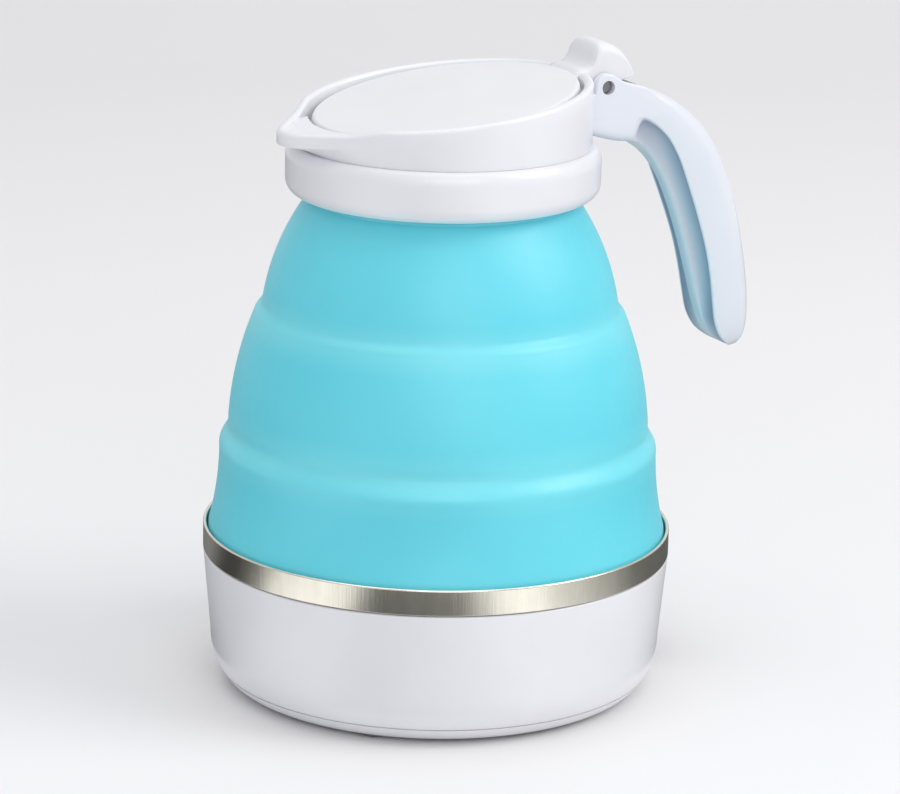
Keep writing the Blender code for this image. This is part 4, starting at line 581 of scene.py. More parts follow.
def brushed(name, colour, dark, roughness):
    """Brushed metal: hair lines round the axis, with uneven shine."""
    n = Nodes(name)
    x, y, z = n.split(n.coordinates())
    turn = n.math("ARCTAN2", y, x)
    lines = n.join(n.math("MULTIPLY", turn, 1.2), 0.0, n.math("MULTIPLY", z, 1560.0))
    patches = n.join(n.math("MULTIPLY", turn, 46.0), 0.0, n.math("MULTIPLY", z, 260.0))
    hair = n.noise(lines, 1.0, 3.0, 0.7)
    patch = n.noise(patches, 1.0, 3.0, 0.6)
    n.feed(Base_Color=n.mixed(n.ranged(patch, 0.0, 1.0), colour, dark))
    n.feed(Roughness=n.ranged(hair, roughness * 0.8, roughness * 1.25))
    n.feed(Normal=n.bump(hair, 0.00003, 0.6))
    tangent = n.add("ShaderNodeTangent", direction_type="RADIAL", axis="Z")
    n.feed(Tangent=tangent.outputs["Tangent"])
    n.sockets(Metallic=1.0, Anisotropic=0.65)
    return n.material


def ring_steel(name, colour, dark):
    """The band's champagne steel, brushed upright: hair lines from edge to edge that break up its shine."""
    n = Nodes(name)
    x, y, z = n.split(n.coordinates())
    turn = n.math("ARCTAN2", y, x)
    lines = n.join(n.math("MULTIPLY", turn, 150.0), 0.0, n.math("MULTIPLY", z, 40.0))
    patches = n.join(n.math("MULTIPLY", turn, 16.0), 0.0, n.math("MULTIPLY", z, 90.0))
    hair = n.noise(lines, 1.0, 4.0, 0.7)
    n.feed(Base_Color=n.mixed(n.ranged(n.noise(patches, 1.0, 3.0, 0.6), 0.0, 1.0), colour, dark))
    n.feed(Roughness=n.ranged(hair, 0.12, 0.24))
    n.feed(Normal=n.bump(hair, 0.00004, 0.6))
    n.sockets(Metallic=1.0)
    return n.material


def plain_metal(name, colour, dark, roughness):
    n = Nodes(name)
    coords = n.coordinates()
    n.feed(Base_Color=n.mixed(n.ranged(n.noise(coords, 260.0, 4.0), 0.0, 1.0), colour, dark))
    n.feed(Roughness=n.ranged(n.noise(coords, 900.0, 3.0), roughness * 0.85, roughness * 1.2))
    n.feed(Normal=n.bump(n.noise(coords, 3000.0, 2.0), 0.00002, 0.5))
    n.sockets(Metallic=1.0)
    return n.material


def lens_plastic():
    n = Nodes("lamp_lens")
    coords = n.coordinates()
    tint = n.ranged(n.noise(coords, 900.0, 2.0), 0.0, 1.0)
    n.feed(Base_Color=n.mixed(tint, (0.70, 0.04, 0.03), (0.55, 0.02, 0.02)))
    n.feed(Roughness=n.ranged(n.noise(coords, 2000.0, 2.0), 0.10, 0.18))
    n.sockets(Transmission_Weight=0.35, Coat_Weight=0.4)
    return n.material


white_shell = moulded(
    "white_shell", (0.800, 0.800, 0.822), (0.770, 0.770, 0.796), 0.30, coat=0.25, scatter=0.06,
)
white_head = moulded(
    "white_head", (0.805, 0.805, 0.832), (0.780, 0.780, 0.810), 0.30, coat=0.20, scatter=0.06,
)
# The grip's dark blue-grey last colour is painted shade, mixed in deep in the handle's cove
grip_white = moulded(
    "grip_white", (0.745, 0.770, 0.820), (0.720, 0.750, 0.805), 0.30, coat=0.20, scatter=0.06,
    cove_shade=(0.300, 0.310, 0.430),
)
satin_white = moulded(
    "satin_white", (0.790, 0.790, 0.806), (0.765, 0.765, 0.785), 0.46, grain=0.000012, scatter=0.04,
)
black_plastic = moulded("black_plastic", (0.022, 0.022, 0.023), (0.014, 0.014, 0.015), 0.38)
grey_rubber = moulded("grey_rubber", (0.23, 0.23, 0.24), (0.19, 0.19, 0.20), 0.70, grain=0.00003)
clear_seal = moulded("clear_seal", (0.72, 0.73, 0.74), (0.66, 0.67, 0.69), 0.50, scatter=0.3)
white_sleeve = moulded("white_sleeve", (0.74, 0.73, 0.69), (0.66, 0.65, 0.60), 0.60)
brown_sleeve = moulded("brown_sleeve", (0.19, 0.085, 0.035), (0.15, 0.065, 0.028), 0.45)
blue_sleeve = moulded("blue_sleeve", (0.03, 0.10, 0.45), (0.025, 0.08, 0.38), 0.45)
green_sleeve = moulded("green_sleeve", (0.42, 0.50, 0.05), (0.06, 0.30, 0.06), 0.45)
blue_silicone = silicone()
band_steel = ring_steel("champagne_steel", (0.94, 0.90, 0.78), (0.84, 0.80, 0.68))
pan_steel = brushed("pan_steel", (0.66, 0.66, 0.66), (0.56, 0.56, 0.57), 0.30)
bright_steel = plain_metal("bright_steel", (0.64, 0.64, 0.65), (0.54, 0.54, 0.55), 0.30)
dull_steel = plain_metal("dull_steel", (0.34, 0.34, 0.35), (0.26, 0.26, 0.27), 0.45)
cast_aluminium = plain_metal("cast_aluminium", (0.70, 0.71, 0.72), (0.60, 0.61, 0.62), 0.45)
bare_brass = plain_metal("bare_brass", (0.78, 0.60, 0.32), (0.66, 0.48, 0.24), 0.30)
lamp_lens = lens_plastic()

NODE_MATERIALS = {
    "bottom_cover": white_shell, "neck_ring": white_head, "lid_liner": satin_white, "lid_gasket": clear_seal,
    "hinge_pin": dull_steel, "heating_element": bright_steel, "heater_plate": cast_aluminium,
    "inlet_socket": black_plastic, "switch_housing": black_plastic, "switch_rocker": black_plastic,
    "thermostat": black_plastic, "indicator_lens": lamp_lens, "thermal_fuse": white_sleeve,
    "fuse_wire": white_sleeve, "element_wire": white_sleeve, "live_wire": brown_sleeve,
    "switched_wire": brown_sleeve, "neutral_wire": blue_sleeve, "earth_wire": green_sleeve,
    "base_shell": white_shell, "steel_band": band_steel, "steel_pan": pan_steel,
    "silicone_lower": blue_silicone, "silicone_middle": blue_silicone, "silicone_upper": blue_silicone,
    "collar": white_head, "spout_rim": white_head, "handle": grip_white, "lid_cover": satin_white,
}
NODE_MATERIAL_WORDS = (
    ("screw", bright_steel), ("nut", bright_steel), ("foot", grey_rubber), ("blade", bare_brass),
    ("terminal", bare_brass), ("element_pin", bare_brass),
)


def material_of(node):
    if node in NODE_MATERIALS:
        return NODE_MATERIALS[node]
    return next(material for word, material in NODE_MATERIAL_WORDS if word in node)


def dress_nodes():
    for name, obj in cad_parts.items():
        obj.data.materials.clear()
        obj.data.materials.append(material_of(name))


# Base


def make_base():
    top = high_of("base_shell").z
    radius = -low_of("base_shell").x
    bottom = SEAM_HEIGHT + SEAM_LINE
    edge = base_corner(CORNER_HEIGHT, bottom, 18)
    last = edge.pop()
    outline = [
        *arc((radius - BASE_EDGE, top - BASE_EDGE), BASE_EDGE, BASE_EDGE, pi / 2, 0.0, 4),
        *edge,
        (last[0] - SEAM_LINE / 3, last[1] + SEAM_LINE),
        (last[0] - SEAM_LINE * 2, last[1]),
        (last[0] - BASE_WALL, last[1]),
        (CORNER_RADIUS - BASE_WALL, CORNER_HEIGHT),
        (radius - BASE_WALL, top - BASE_WALL),
        (high_of("steel_pan").x - BASE_WALL, top - BASE_WALL),
        (high_of("steel_pan").x - BASE_WALL, top),
    ]
    base = place("base_body", turned("base_body", outline), white_shell)
    low, high = low_of("inlet_socket"), high_of("inlet_socket")
    beyond = radius + OVERRUN
    inlet = box_cutter(
        "inlet_cut", (INLET_SEAT - OVERRUN * 2, low.y - GAP, low.z - GAP),
        (beyond, high.y + GAP, high.z + GAP),
    )
    spin = Matrix.Rotation(SWITCH_ANGLE, 4, "Z")
    half_width = SWITCH_FRAME_WIDTH / 2 + GAP
    half_height = SWITCH_FRAME_HEIGHT / 2 + GAP
    switch = box_cutter(
        "switch_cut", (SWITCH_FACE - SWITCH_FRAME - OVERRUN, -half_width, SWITCH_HEIGHT - half_height),
        (beyond, half_width, SWITCH_HEIGHT + half_height), spin,
    )
    lens_place = Matrix.Rotation(LENS_ANGLE, 4, "Z") @ Matrix.Translation((0.0, 0.0, LENS_HEIGHT))
    lens = rod_cutter(
        "lens_cut", LENS_RADIUS, CORNER_RADIUS - BASE_WALL - OVERRUN, beyond,
        lens_place @ Matrix.Rotation(pi / 2, 4, "Y"),
    )
    cut(base, inlet, switch, lens)
    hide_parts("base_shell")
    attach(base, "base")


def make_cover():
    edge = base_corner(SEAM_HEIGHT, 0.0, 16)
    seam = edge[0][0]
    outline = [
        (0.0, BASE_WALL), (seam - BASE_WALL, BASE_WALL), (seam - BASE_WALL, SEAM_HEIGHT),
        (seam - COVER_EDGE, SEAM_HEIGHT), (seam - COVER_EDGE * 0.2, SEAM_HEIGHT - COVER_EDGE * 0.3),
        *edge[2:], (0.0, 0.0),
    ]
    cover = place("cover_plate", turned("cover_plate", outline, open_at_axis=True), white_shell)
    holes = []
    for node in (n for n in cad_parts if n.startswith(("cover_screw", "rubber_foot"))):
        low, high = low_of(node), high_of(node)
        middle = (low + high) / 2
        radius = (high.x - low.x) / 2 + GAP
        depth = high.z + GAP if node.startswith("rubber") else BASE_WALL + OVERRUN
        at = Matrix.Translation((middle.x, middle.y, 0.0))
        holes.append(rod_cutter(f"{node}_hole", radius, -OVERRUN, depth, at))
    cut(cover, *holes)
    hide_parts("bottom_cover")
    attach(cover, "base")


def make_band():
    low, high = low_of("steel_band"), high_of("steel_band")
    radius = high.x
    inner = radius - BAND_WALL
    lip = BAND_WALL / 2
    bore = high_of("steel_pan").x - SILICONE_WALL
    outline = [
        *arc((radius - lip, high.z - lip), lip, lip, pi, 0.0, 10),
        (radius, low.z + lip * 0.4), (radius - lip * 0.4, low.z), (bore, low.z), (bore, low.z + BAND_FLANGE),
        (inner, low.z + BAND_FLANGE),
    ]
    band = place("brushed_band", turned("brushed_band", outline), band_steel)
    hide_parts("steel_band")
    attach(band, "base")


def shoulder(lower, upper, count):
    """Points up a shoulder where the silicone folds: an S that flows out of one tier and into the next."""
    low, high = lower[-1], upper[0]
    span = high[1] - low[1]
    leave = (low[0] - lower[-2][0]) / (low[1] - lower[-2][1]) * span
    meet = (upper[1][0] - high[0]) / (upper[1][1] - high[1]) * span
    points = []
    for i in range(1, count):
        t = i / count
        rest = 1 - t
        from_low = rest * rest * (low[0] * (1 + 2 * t) + leave * t)
        from_high = t * t * (high[0] * (3 - 2 * t) - meet * rest)
        radius = from_low + from_high
        sway = sin(2 * pi * t) * (1 - cos(2 * pi * t)) / SHOULDER_SAG_PEAK
        sag = SHOULDER_SAG_SHARE * span * sway
        points.append((radius + sag, low[1] + span * t))
    return points


def make_silicone():
    bead_bottom = low_of("silicone_lower").z
    bead_radius = high_of("silicone_lower").x
    neck_top = high_of("silicone_upper").z
    bead_top = bead_bottom + BEAD_HEIGHT
    one_top = (TIER_ONE_TOP_RADIUS, TIER_ONE_TOP)
    two_foot = (TIER_TWO_FOOT_RADIUS, TIER_TWO_FOOT)
    two_top = (TIER_TWO_TOP_RADIUS, TIER_TWO_TOP)
    three_foot = (TIER_THREE_FOOT_RADIUS, TIER_THREE_FOOT)
    three_top = (TIER_THREE_TOP_RADIUS, TIER_THREE_TOP)
    one = bowed((TIER_ONE_FOOT_RADIUS, TIER_ONE_FOOT), one_top, TIER_ONE_BULGE, 16)
    two = bowed(two_foot, two_top, TIER_TWO_BULGE, 24)
    three = bowed(three_foot, three_top, TIER_THREE_BULGE, 28)
    tiers = one + shoulder(one, two, 20) + two + shoulder(two, three, 14) + three
    wall = [(r - SILICONE_WALL, z) for r, z in tiers]
    outline = [
        (TIER_THREE_TOP_RADIUS + COLLAR_SHOULDER_WIDTH, neck_top),
        (TIER_THREE_TOP_RADIUS + COLLAR_SHOULDER_WIDTH, neck_top - BEAD_HEIGHT),
        (TIER_THREE_TOP_RADIUS, neck_top - BEAD_HEIGHT),
        *reversed(tiers),
        (bead_radius, bead_top), (bead_radius, bead_bottom), (bead_radius - BEAD_HEIGHT * 2, bead_bottom),
        (bead_radius - BEAD_HEIGHT * 2, bead_top), (TIER_ONE_FOOT_RADIUS - SILICONE_WALL, bead_top),
        *wall,
        (TIER_THREE_TOP_RADIUS - SILICONE_WALL, neck_top),
    ]
    body = place("silicone_body", turned("silicone_body", outline), blue_silicone)
    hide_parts("silicone_lower", "silicone_middle", "silicone_upper")
    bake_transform(body)


def make_pan():
    low, high = low_of("steel_pan"), high_of("steel_pan")
    plate_top = high_of("heater_plate").z
    floor = plate_top + GAP
    wall = high.x - SILICONE_WALL - PAN_SHEET
    knee = (wall - PAN_CORNER, floor + PAN_CORNER)
    inside = arc(knee, PAN_CORNER - PAN_SHEET, PAN_CORNER - PAN_SHEET, -pi / 2, 0.0, 12)
    outside = arc(knee, PAN_CORNER, PAN_CORNER, 0.0, -pi / 2, 12)
    step = PAN_STEP_RADIUS
    outline = [
        (0.0, floor + PAN_SHEET + PAN_STEP), (step - PAN_STEP, floor + PAN_SHEET + PAN_STEP),
        (step + PAN_STEP, floor + PAN_SHEET), *inside,
        (wall - PAN_SHEET, high.z - PAN_SHEET), (wall, high.z), (high.x, high.z),
        (high.x, high.z - PAN_SHEET), (wall + PAN_SHEET * 0.4, high.z - PAN_SHEET),
        (wall, high.z - PAN_SHEET * 2), *outside, (0.0, floor),
    ]
    pan = place("boiling_pan", turned("boiling_pan", outline, open_at_axis=True), pan_steel)
    studs = []
    for node in (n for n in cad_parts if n.startswith("pan_nut")):
        nut_low, nut_high = low_of(node), high_of(node)
        middle = (nut_low + nut_high) / 2
        at = Matrix.Translation((middle.x, middle.y, 0.0))
        studs.append(rod_cutter(f"{node}_stud", PAN_STUD_RADIUS, low.z, floor + PAN_SHEET / 2, at))
    cut(pan, *studs, operation="UNION")
    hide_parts("steel_pan")
    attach(pan, "base")


# Head


def make_collar():
    low, high = low_of("collar"), high_of("collar")
    radius = high.x
    foot_centre = (radius - COLLAR_FOOT_ROUND, low.z + COLLAR_FOOT_ROUND)
    shoulder_centre = (radius - COLLAR_SHOULDER_WIDTH, high.z - COLLAR_SHOULDER_HEIGHT)
    lip_bore = TIER_THREE_TOP_RADIUS + GAP
    bore = RIM_SPIGOT + 2 * GAP
    outline = [
        *arc(shoulder_centre, COLLAR_SHOULDER_WIDTH, COLLAR_SHOULDER_HEIGHT, pi / 2, 0.0, 14),
        *arc(foot_centre, COLLAR_FOOT_ROUND, COLLAR_FOOT_ROUND, 0.0, -pi / 2, 14),
        (lip_bore, low.z), (lip_bore, low.z + BASE_WALL), (bore, low.z + BASE_WALL), (bore, high.z),
    ]
    collar = place("neck_collar", turned("neck_collar", outline), white_head)
    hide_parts("collar")
    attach(collar, "head")


def spout_radius(angle, offset):
    """Radius of the rim's outline at an angle from the spout, drawn in by an offset: a circle whose tangents
    run to a small circle at the tip."""
    circle = RIM_RADIUS - offset
    tip = SPOUT_TIP_RADIUS - offset
    centre = SPOUT_REACH - SPOUT_TIP_RADIUS
    touch = acos((circle - tip) / centre)
    tip_end = atan2(tip * sin(touch), centre + tip * cos(touch))
    a = abs(angle)
    if a < tip_end:
        return centre * cos(a) + sqrt(tip * tip - (centre * sin(a)) ** 2)
    if a < touch:
        return circle / cos(touch - a)
    return circle


def rim_top(x):
    """Height of the rim's slanting top edge at x, with the step down to the spout."""
    return RIM_HEIGHT + RIM_SLOPE * x - SPOUT_STEP * smooth_step((-x - SPOUT_STEP_START) / SPOUT_STEP_LENGTH)


def lid_top(x):
    return LID_HEIGHT + LID_SLOPE * x


def rim_section(angle):
    """The rim's closed section at an angle from the spout, as (radius, height) points."""
    outer = spout_radius(angle, 0.0)
    inner = spout_radius(angle, RIM_WALL)
    top = rim_top(-outer * cos(angle))
    inner_top = rim_top(-inner * cos(angle))
    under_lid = LID_THICKNESS + 2 * GAP
    seat = lid_top(-(RIM_RADIUS - RIM_WALL) * cos(angle)) - under_lid
    inner_seat = lid_top(-RIM_BORE * cos(angle)) - under_lid
    chute = smooth_step(CHUTE_SLOPE * (inner - (RIM_RADIUS - RIM_WALL)) / SPOUT_LENGTH)
    floor = seat + (inner_top - CHUTE_DEPTH - seat) * chute
    step = seat + (rim_top(-SEAT_RADIUS * cos(angle)) - CHUTE_DEPTH - seat) * chute
    lip_bottom = top - SPOUT_LIP
    half = (outer - inner) / 2
    crest = [
        (r, rim_top(-r * cos(angle)) - RIM_CREST + rise)
        for r, rise in arc((outer - half, 0.0), half, RIM_CREST, pi, 0.0, 12)
    ]
    flare = []
    for i in range(1, 12):
        t = i / 12
        radius = RIM_RADIUS + (outer - RIM_RADIUS) * (1 - t) ** SPOUT_FLARE_POWER
        flare.append((radius, lip_bottom + (RIM_BOTTOM - lip_bottom) * t))
    return [
        *crest, (outer, lip_bottom), *flare, (RIM_RADIUS, RIM_BOTTOM), (RIM_SPIGOT, RIM_BOTTOM),
        (RIM_SPIGOT, RIM_BOTTOM - RIM_WALL), (RIM_BORE, RIM_BOTTOM - RIM_WALL), (RIM_BORE, inner_seat),
        (SEAT_RADIUS, seat), (SEAT_RADIUS + GAP / 2, step), (inner - CHUTE_FILLET, floor),
        (inner, floor + CHUTE_FILLET),
    ]


def make_rim():
    rings = []
    for i in range(RIM_ANGLES):
        share = -1 + 2 * i / RIM_ANGLES
        angle = pi * (share - RIM_CROWDING * sin(pi * share) / pi)
        rings.append([(-r * cos(angle), r * sin(angle), z) for r, z in rim_section(angle)])
    rim = place("spout_ring", skin("spout_ring", rings, looped=True), white_head)
    notch = box_cutter(
        "notch_cut", (RIM_BORE - OVERRUN, -NOTCH_HALF_WIDTH, NOTCH_FLOOR),
        (RIM_RADIUS + OVERRUN, NOTCH_HALF_WIDTH, RIM_HEIGHT + TAB_HEIGHT * 2),
    )
    seats = []
    for side in (-1, 1):
        at = Matrix.Translation((RIM_BORE, side * HANDLE_SCREW_SPREAD, HANDLE_SCREW_HEIGHT))
        seats.append(rod_cutter(
            f"screw_seat_{side}", HANDLE_SCREW_HOLE, -OVERRUN, HANDLE_SCREW_DEPTH,
            at @ Matrix.Rotation(pi / 2, 4, "Y"),
        ))
    cut(rim, notch, *seats)
    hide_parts("spout_rim")
    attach(rim, "head")


def handle_point(share):
    """A point of the handle. Its second share runs from 0 at the handle's top through 1 at the underside of
    its root to 2 at its tip."""
    root = min(share[1], 1.0)
    fall = share[1] - root
    height = HANDLE_TOP - (HANDLE_TOP - HANDLE_ROOT_BOTTOM) * root - HANDLE_FALL * fall
    return Vector((HANDLE_ROOT + HANDLE_REACH * share[0], 0.0, height))


def flank(rise, mouth, carving, slimming):
    """From the side of the handle to the middle of its front, as (height, distance to the side). carving
    sinks a cove beside the edge, and slimming turns the plain square front into a round ridge."""
    undercut = HANDLE_UNDERCUT * smooth_step(rise / HANDLE_UNDERCUT / 2) * carving
    dent = HANDLE_DENT * carving * (1 - slimming)
    ridge = mouth * HANDLE_RIDGE_SHARE
    wall = rise - min(HANDLE_RIDGE_ROUND, rise / 2)
    corner = 2 / HANDLE_ROOT_SQUARENESS
    points = []
    for i in range(1, HANDLE_COVE_STEPS + 1):
        t = i / HANDLE_COVE_STEPS
        turn = pi / 2 * t * t
        square = (rise * sin(turn) ** corner, mouth * max(cos(turn), 0.0) ** corner)
        a = pi / 2 * min(t / COVE_SPAN, 1.0)
        b = pi / 2 * max((t - COVE_SPAN) / (1 - COVE_SPAN), 0.0)
        side = (ridge + (mouth - ridge) * (1 - sin(a)) ** COVE_POWER) * max(cos(b), 0.0) ** COVE_POWER
        coved = (wall * (1 - cos(a)) + (rise - wall) * sin(b) ** COVE_POWER, side)
        height, side = (u + (v - u) * slimming for u, v in zip(square, coved))
        dip = sin(pi * min(t / COVE_SPAN, 1.0))
        points.append((height - undercut * dip, side - dent * dip))
    return points


def section_half(depth, half_width, cove, carving, slimming):
    """Half of the handle's section, from the middle of its back to the middle of its front, as (distance
    from the back, distance to the side)."""
    squareness = HANDLE_ROOT_SQUARENESS + (HANDLE_SQUARENESS - HANDLE_ROOT_SQUARENESS) * slimming
    points = []
    for i in range(HANDLE_BACK_STEPS + 1):
        a = pi / 2 * i / HANDLE_BACK_STEPS
        along = max(cos(a), 0.0) ** (2 / squareness)
        points.append((cove / 2 * (1 - along), half_width * sin(a) ** (2 / squareness)))
    edge = HANDLE_COVE_EDGE
    for i in range(HANDLE_EDGE_STEPS + 1):
        b = pi / 2 * i / HANDLE_EDGE_STEPS
        points.append((cove - edge + edge * sin(b), half_width - edge * carving * (1 - cos(b))))
    front = flank(depth - cove, half_width - edge * carving, carving, slimming)
    return points + [(cove + height, side) for height, side in front]


def cove_shade_shares():
    """How much painted shade each point of half a section gets, by how deep in the cove it lies: nothing
    outside, most beside the edge.
    """
    outside = [0.0] * (HANDLE_BACK_STEPS + HANDLE_EDGE_STEPS + 2)
    span = HANDLE_COVE_STEPS * COVE_SPAN
    return outside + [max(1 - i / span, 0.0) ** COVE_SHADE_POWER for i in range(1, HANDLE_COVE_STEPS + 1)]


def whole_ring(half):
    return half + list(reversed(half[1:-1]))


def handle_ring(back, front, half_width, cove_share, carving, slimming):
    """The handle's whole section between a point of its back and one of its front."""
    depth = (back - front).length
    inward_way = (front - back).normalized()
    half = section_half(depth, half_width, depth * cove_share, carving, slimming)
    near = [back + inward_way * d + Vector((0.0, -w, 0.0)) for d, w in half]
    far = [back + inward_way * d + Vector((0.0, w, 0.0)) for d, w in half[1:-1]]
    return near + list(reversed(far))


def handle_rings():
    """The rings of the handle and, beside each, the shares of painted shade in the cove at its points."""
    backs = through([handle_point(share) for share in HANDLE_BACK_SHARES], HANDLE_STATIONS)
    fronts = through([handle_point(share) for share in HANDLE_FRONT_SHARES], HANDLE_STATIONS)
    widths = through([(share, 0.0, 0.0) for share in HANDLE_WIDTH_SHARES], HANDLE_STATIONS)
    coves = through([(share, 0.0, 0.0) for share in HANDLE_COVE_SHARES], HANDLE_STATIONS)
    rings = []
    cove_shades = []
    for index, (back, front, width, cove) in enumerate(zip(backs, fronts, widths, coves)):
        station = index / HANDLE_STATIONS - COVE_START
        carving = smooth_step(station / COVE_RUN)
        slimming = smooth_step(station / SLIM_RUN)
        cove_share = min(cove.x, 1.0)
        rings.append(handle_ring(back, front, HANDLE_WIDTH / 2 * width.x, cove_share, carving, slimming))
        cove_shades.append(whole_ring([share * carving for share in cove_shade_shares()]))
    tip = rings[-1]
    centre = sum(tip, Vector()) / len(tip)
    onward = (centre - sum(rings[-2], Vector()) / len(tip)).normalized()
    for t in HANDLE_TIP_SHARES:
        drawn_in = sqrt(1 - t * t)
        rings.append([centre + (point - centre) * drawn_in + onward * (HANDLE_EDGE * t) for point in tip])
        cove_shades.append(cove_shades[-1])
    return rings, cove_shades


def mark_cove_shade(mesh, rings, cove_shades):
    """Keeps on each point of the mesh how deep in the cove it lies, for the material's painted shade."""
    tree = KDTree(sum(len(ring) for ring in rings))
    shares = []
    for ring, row in zip(rings, cove_shades):
        for point, share in zip(ring, row):
            tree.insert(point, len(shares))
            shares.append(share)
    tree.balance()
    marks = mesh.attributes.new("cove_shade", "FLOAT", "POINT")
    for vertex, mark in zip(mesh.vertices, marks.data):
        mark.value = shares[tree.find(vertex.co)[1]]


def slab_stations(half_width, edge):
    """Places across a slab and how far its outline is drawn in at each, for rounded edges."""
    near = [
        (-half_width + edge * (1 - cos(pi / 2 * i / 5)), edge * (1 - sin(pi / 2 * i / 5)))
        for i in range(6)
    ]
    flat = [(-half_width + edge + 2 * (half_width - edge) * i / 12, 0.0) for i in range(1, 12)]
    return near + flat + [(-y, inset) for y, inset in reversed(near)]


def outward_normals(outline):
    """Unit vectors that point out of a closed outline, one at each of its points."""
    count = len(outline)
    area = sum(outline[i - 1][0] * outline[i][1] - outline[i][0] * outline[i - 1][1] for i in range(count))
    outward = 1 if area > 0 else -1
    normals = []
    for i in range(count):
        before = Vector(outline[i - 1])
        after = Vector(outline[(i + 1) % count])
        along = (after - before).normalized()
        normals.append(Vector((along.y, -along.x)) * outward)
    return normals


def side_slab(name, outline, half_width, edge, crown=None):
    """A side outline of (x, z) points given a width along Y, with rounded edges. crown(y) draws down what
    stands above the pin's height."""
    normals = outward_normals(outline)
    rings = []
    for y, inset in slab_stations(half_width, edge):
        ring = []
        for corner, normal in zip(outline, normals):
            point = Vector(corner) - normal * inset
            height = point.y
            if crown and height > PIN_HEIGHT:
                height = PIN_HEIGHT + (height - PIN_HEIGHT) * crown(y)
            ring.append((point.x, y, height))
        rings.append(ring)
    return skin(name, rings)


def pin_matrix():
    return Matrix.Translation((PIN_X, 0.0, PIN_HEIGHT)) @ Matrix.Rotation(pi / 2, 4, "X")


def make_handle():
    rings, cove_shades = handle_rings()
    mesh = skin("handle_grip", rings)
    # Marks the cove for the painted shade in the grip's material
    mark_cove_shade(mesh, rings, cove_shades)
    handle = place("handle_grip", mesh, grip_white)
    half = HANDLE_WIDTH / 2
    crest = [handle_point(share) for share in HANDLE_BACK_SHARES[1:5]]
    ear_outline = arc((PIN_X, PIN_HEIGHT), EAR_RADIUS, EAR_RADIUS, pi, EAR_END, 20)
    ear_outline += [(crest[0].x, crest[0].z + EAR_SHOULDER), (crest[1].x, crest[1].z + EAR_SHOULDER / 4)]
    ear_outline += [(crest[3].x, crest[3].z - EAR_SHOULDER), (crest[3].x, SLOT_FLOOR - GAP)]
    ear_outline += [(HANDLE_ROOT, SLOT_FLOOR - GAP)]
    ears = hidden("ears", side_slab("ears", ear_outline, half, HANDLE_EDGE))
    cut(handle, ears, operation="UNION")
    slot_half = half - EAR_WALL
    above = PIN_HEIGHT + TAB_HEIGHT
    slot = box_cutter(
        "slot_cut", (HANDLE_ROOT - OVERRUN, -slot_half, SLOT_FLOOR), (PIN_X + SLOT_BACK, slot_half, above),
    )
    pin_hole = rod_cutter("pin_cut", PIN_HOLE, -half - OVERRUN, half + OVERRUN, pin_matrix())
    rim_space = rod_cutter("rim_space", RIM_RADIUS + GAP, RIM_BOTTOM - OVERRUN, above, Matrix.Identity(4))
    cut(handle, rim_space, slot, pin_hole)
    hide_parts("handle")
    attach(handle, "head")


# Lid


def lid_matrix():
    """Takes the lid's own frame, with its top at z = 0, to its slanting place on the rim."""
    at = Matrix.Translation((LID_CENTRE, 0.0, lid_top(LID_CENTRE)))
    return at @ Matrix.Rotation(-atan(LID_SLOPE), 4, "Y")


def tab_crown(y):
    """How much of the tab's height is left at a distance y from its middle: an arch with shoulders."""
    share = min(abs(y) / KNUCKLE_HALF_WIDTH, 1.0)
    return TAB_SHOULDER_SHARE + (1 - TAB_SHOULDER_SHARE) * sqrt(1 - share ** 4)


def make_lid():
    skirt = LID_RADIUS - LID_SKIN
    outline = [
        (0.0, 0.0),
        *arc((LID_RADIUS - LID_ROUND, -LID_ROUND), LID_ROUND, LID_ROUND, pi / 2, 0.0, 8),
        (LID_RADIUS, -LID_THICKNESS), (skirt, -LID_THICKNESS), (skirt, -LID_SKIN), (0.0, -LID_SKIN),
    ]
    mesh = turned("lid_plate", outline, open_at_axis=True)
    mesh.transform(lid_matrix())
    lid = place("lid_plate", mesh, satin_white)
    anchor = LID_CENTRE + LID_RADIUS - LID_SKIN + GAP
    tab = [(PIN_X + TAB_BACK * x, PIN_HEIGHT + TAB_HEIGHT * z) for x, z in TAB_SHARES]
    tab += [(anchor, lid_top(anchor) - LID_ROUND)]
    side = [(p.x, p.y) for p in through([(x, z) for x, z in tab], 4)]
    side += [(anchor, lid_top(anchor) - LID_THICKNESS)]
    side += arc((PIN_X, PIN_HEIGHT), KNUCKLE_RADIUS, KNUCKLE_RADIUS, KNUCKLE_START, KNUCKLE_END, 20)
    arm = hidden("lid_arm", side_slab("lid_arm", side, KNUCKLE_HALF_WIDTH, TAB_EDGE, tab_crown))
    cut(lid, arm, operation="UNION")
    cut(lid, rod_cutter("arm_hole", PIN_HOLE, -HANDLE_WIDTH, HANDLE_WIDTH, pin_matrix()))
    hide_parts("lid_cover")
    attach(lid, "lid")


# Inlet and switch


SOFTENED_NODES = (
    "inlet_socket", "switch_housing", "switch_rocker", "live_blade", "neutral_blade", "earth_blade",
)
SOFTENED_ANGLE = radians(40)


def soften_nodes():
    for name in SOFTENED_NODES:
        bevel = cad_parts[name].modifiers.new("soft_edges", "BEVEL")
        bevel.width = GAP
        bevel.segments = 2
        bevel.limit_method = "ANGLE"
        bevel.angle_limit = SOFTENED_ANGLE
        bevel.harden_normals = False


# Stage, light and camera


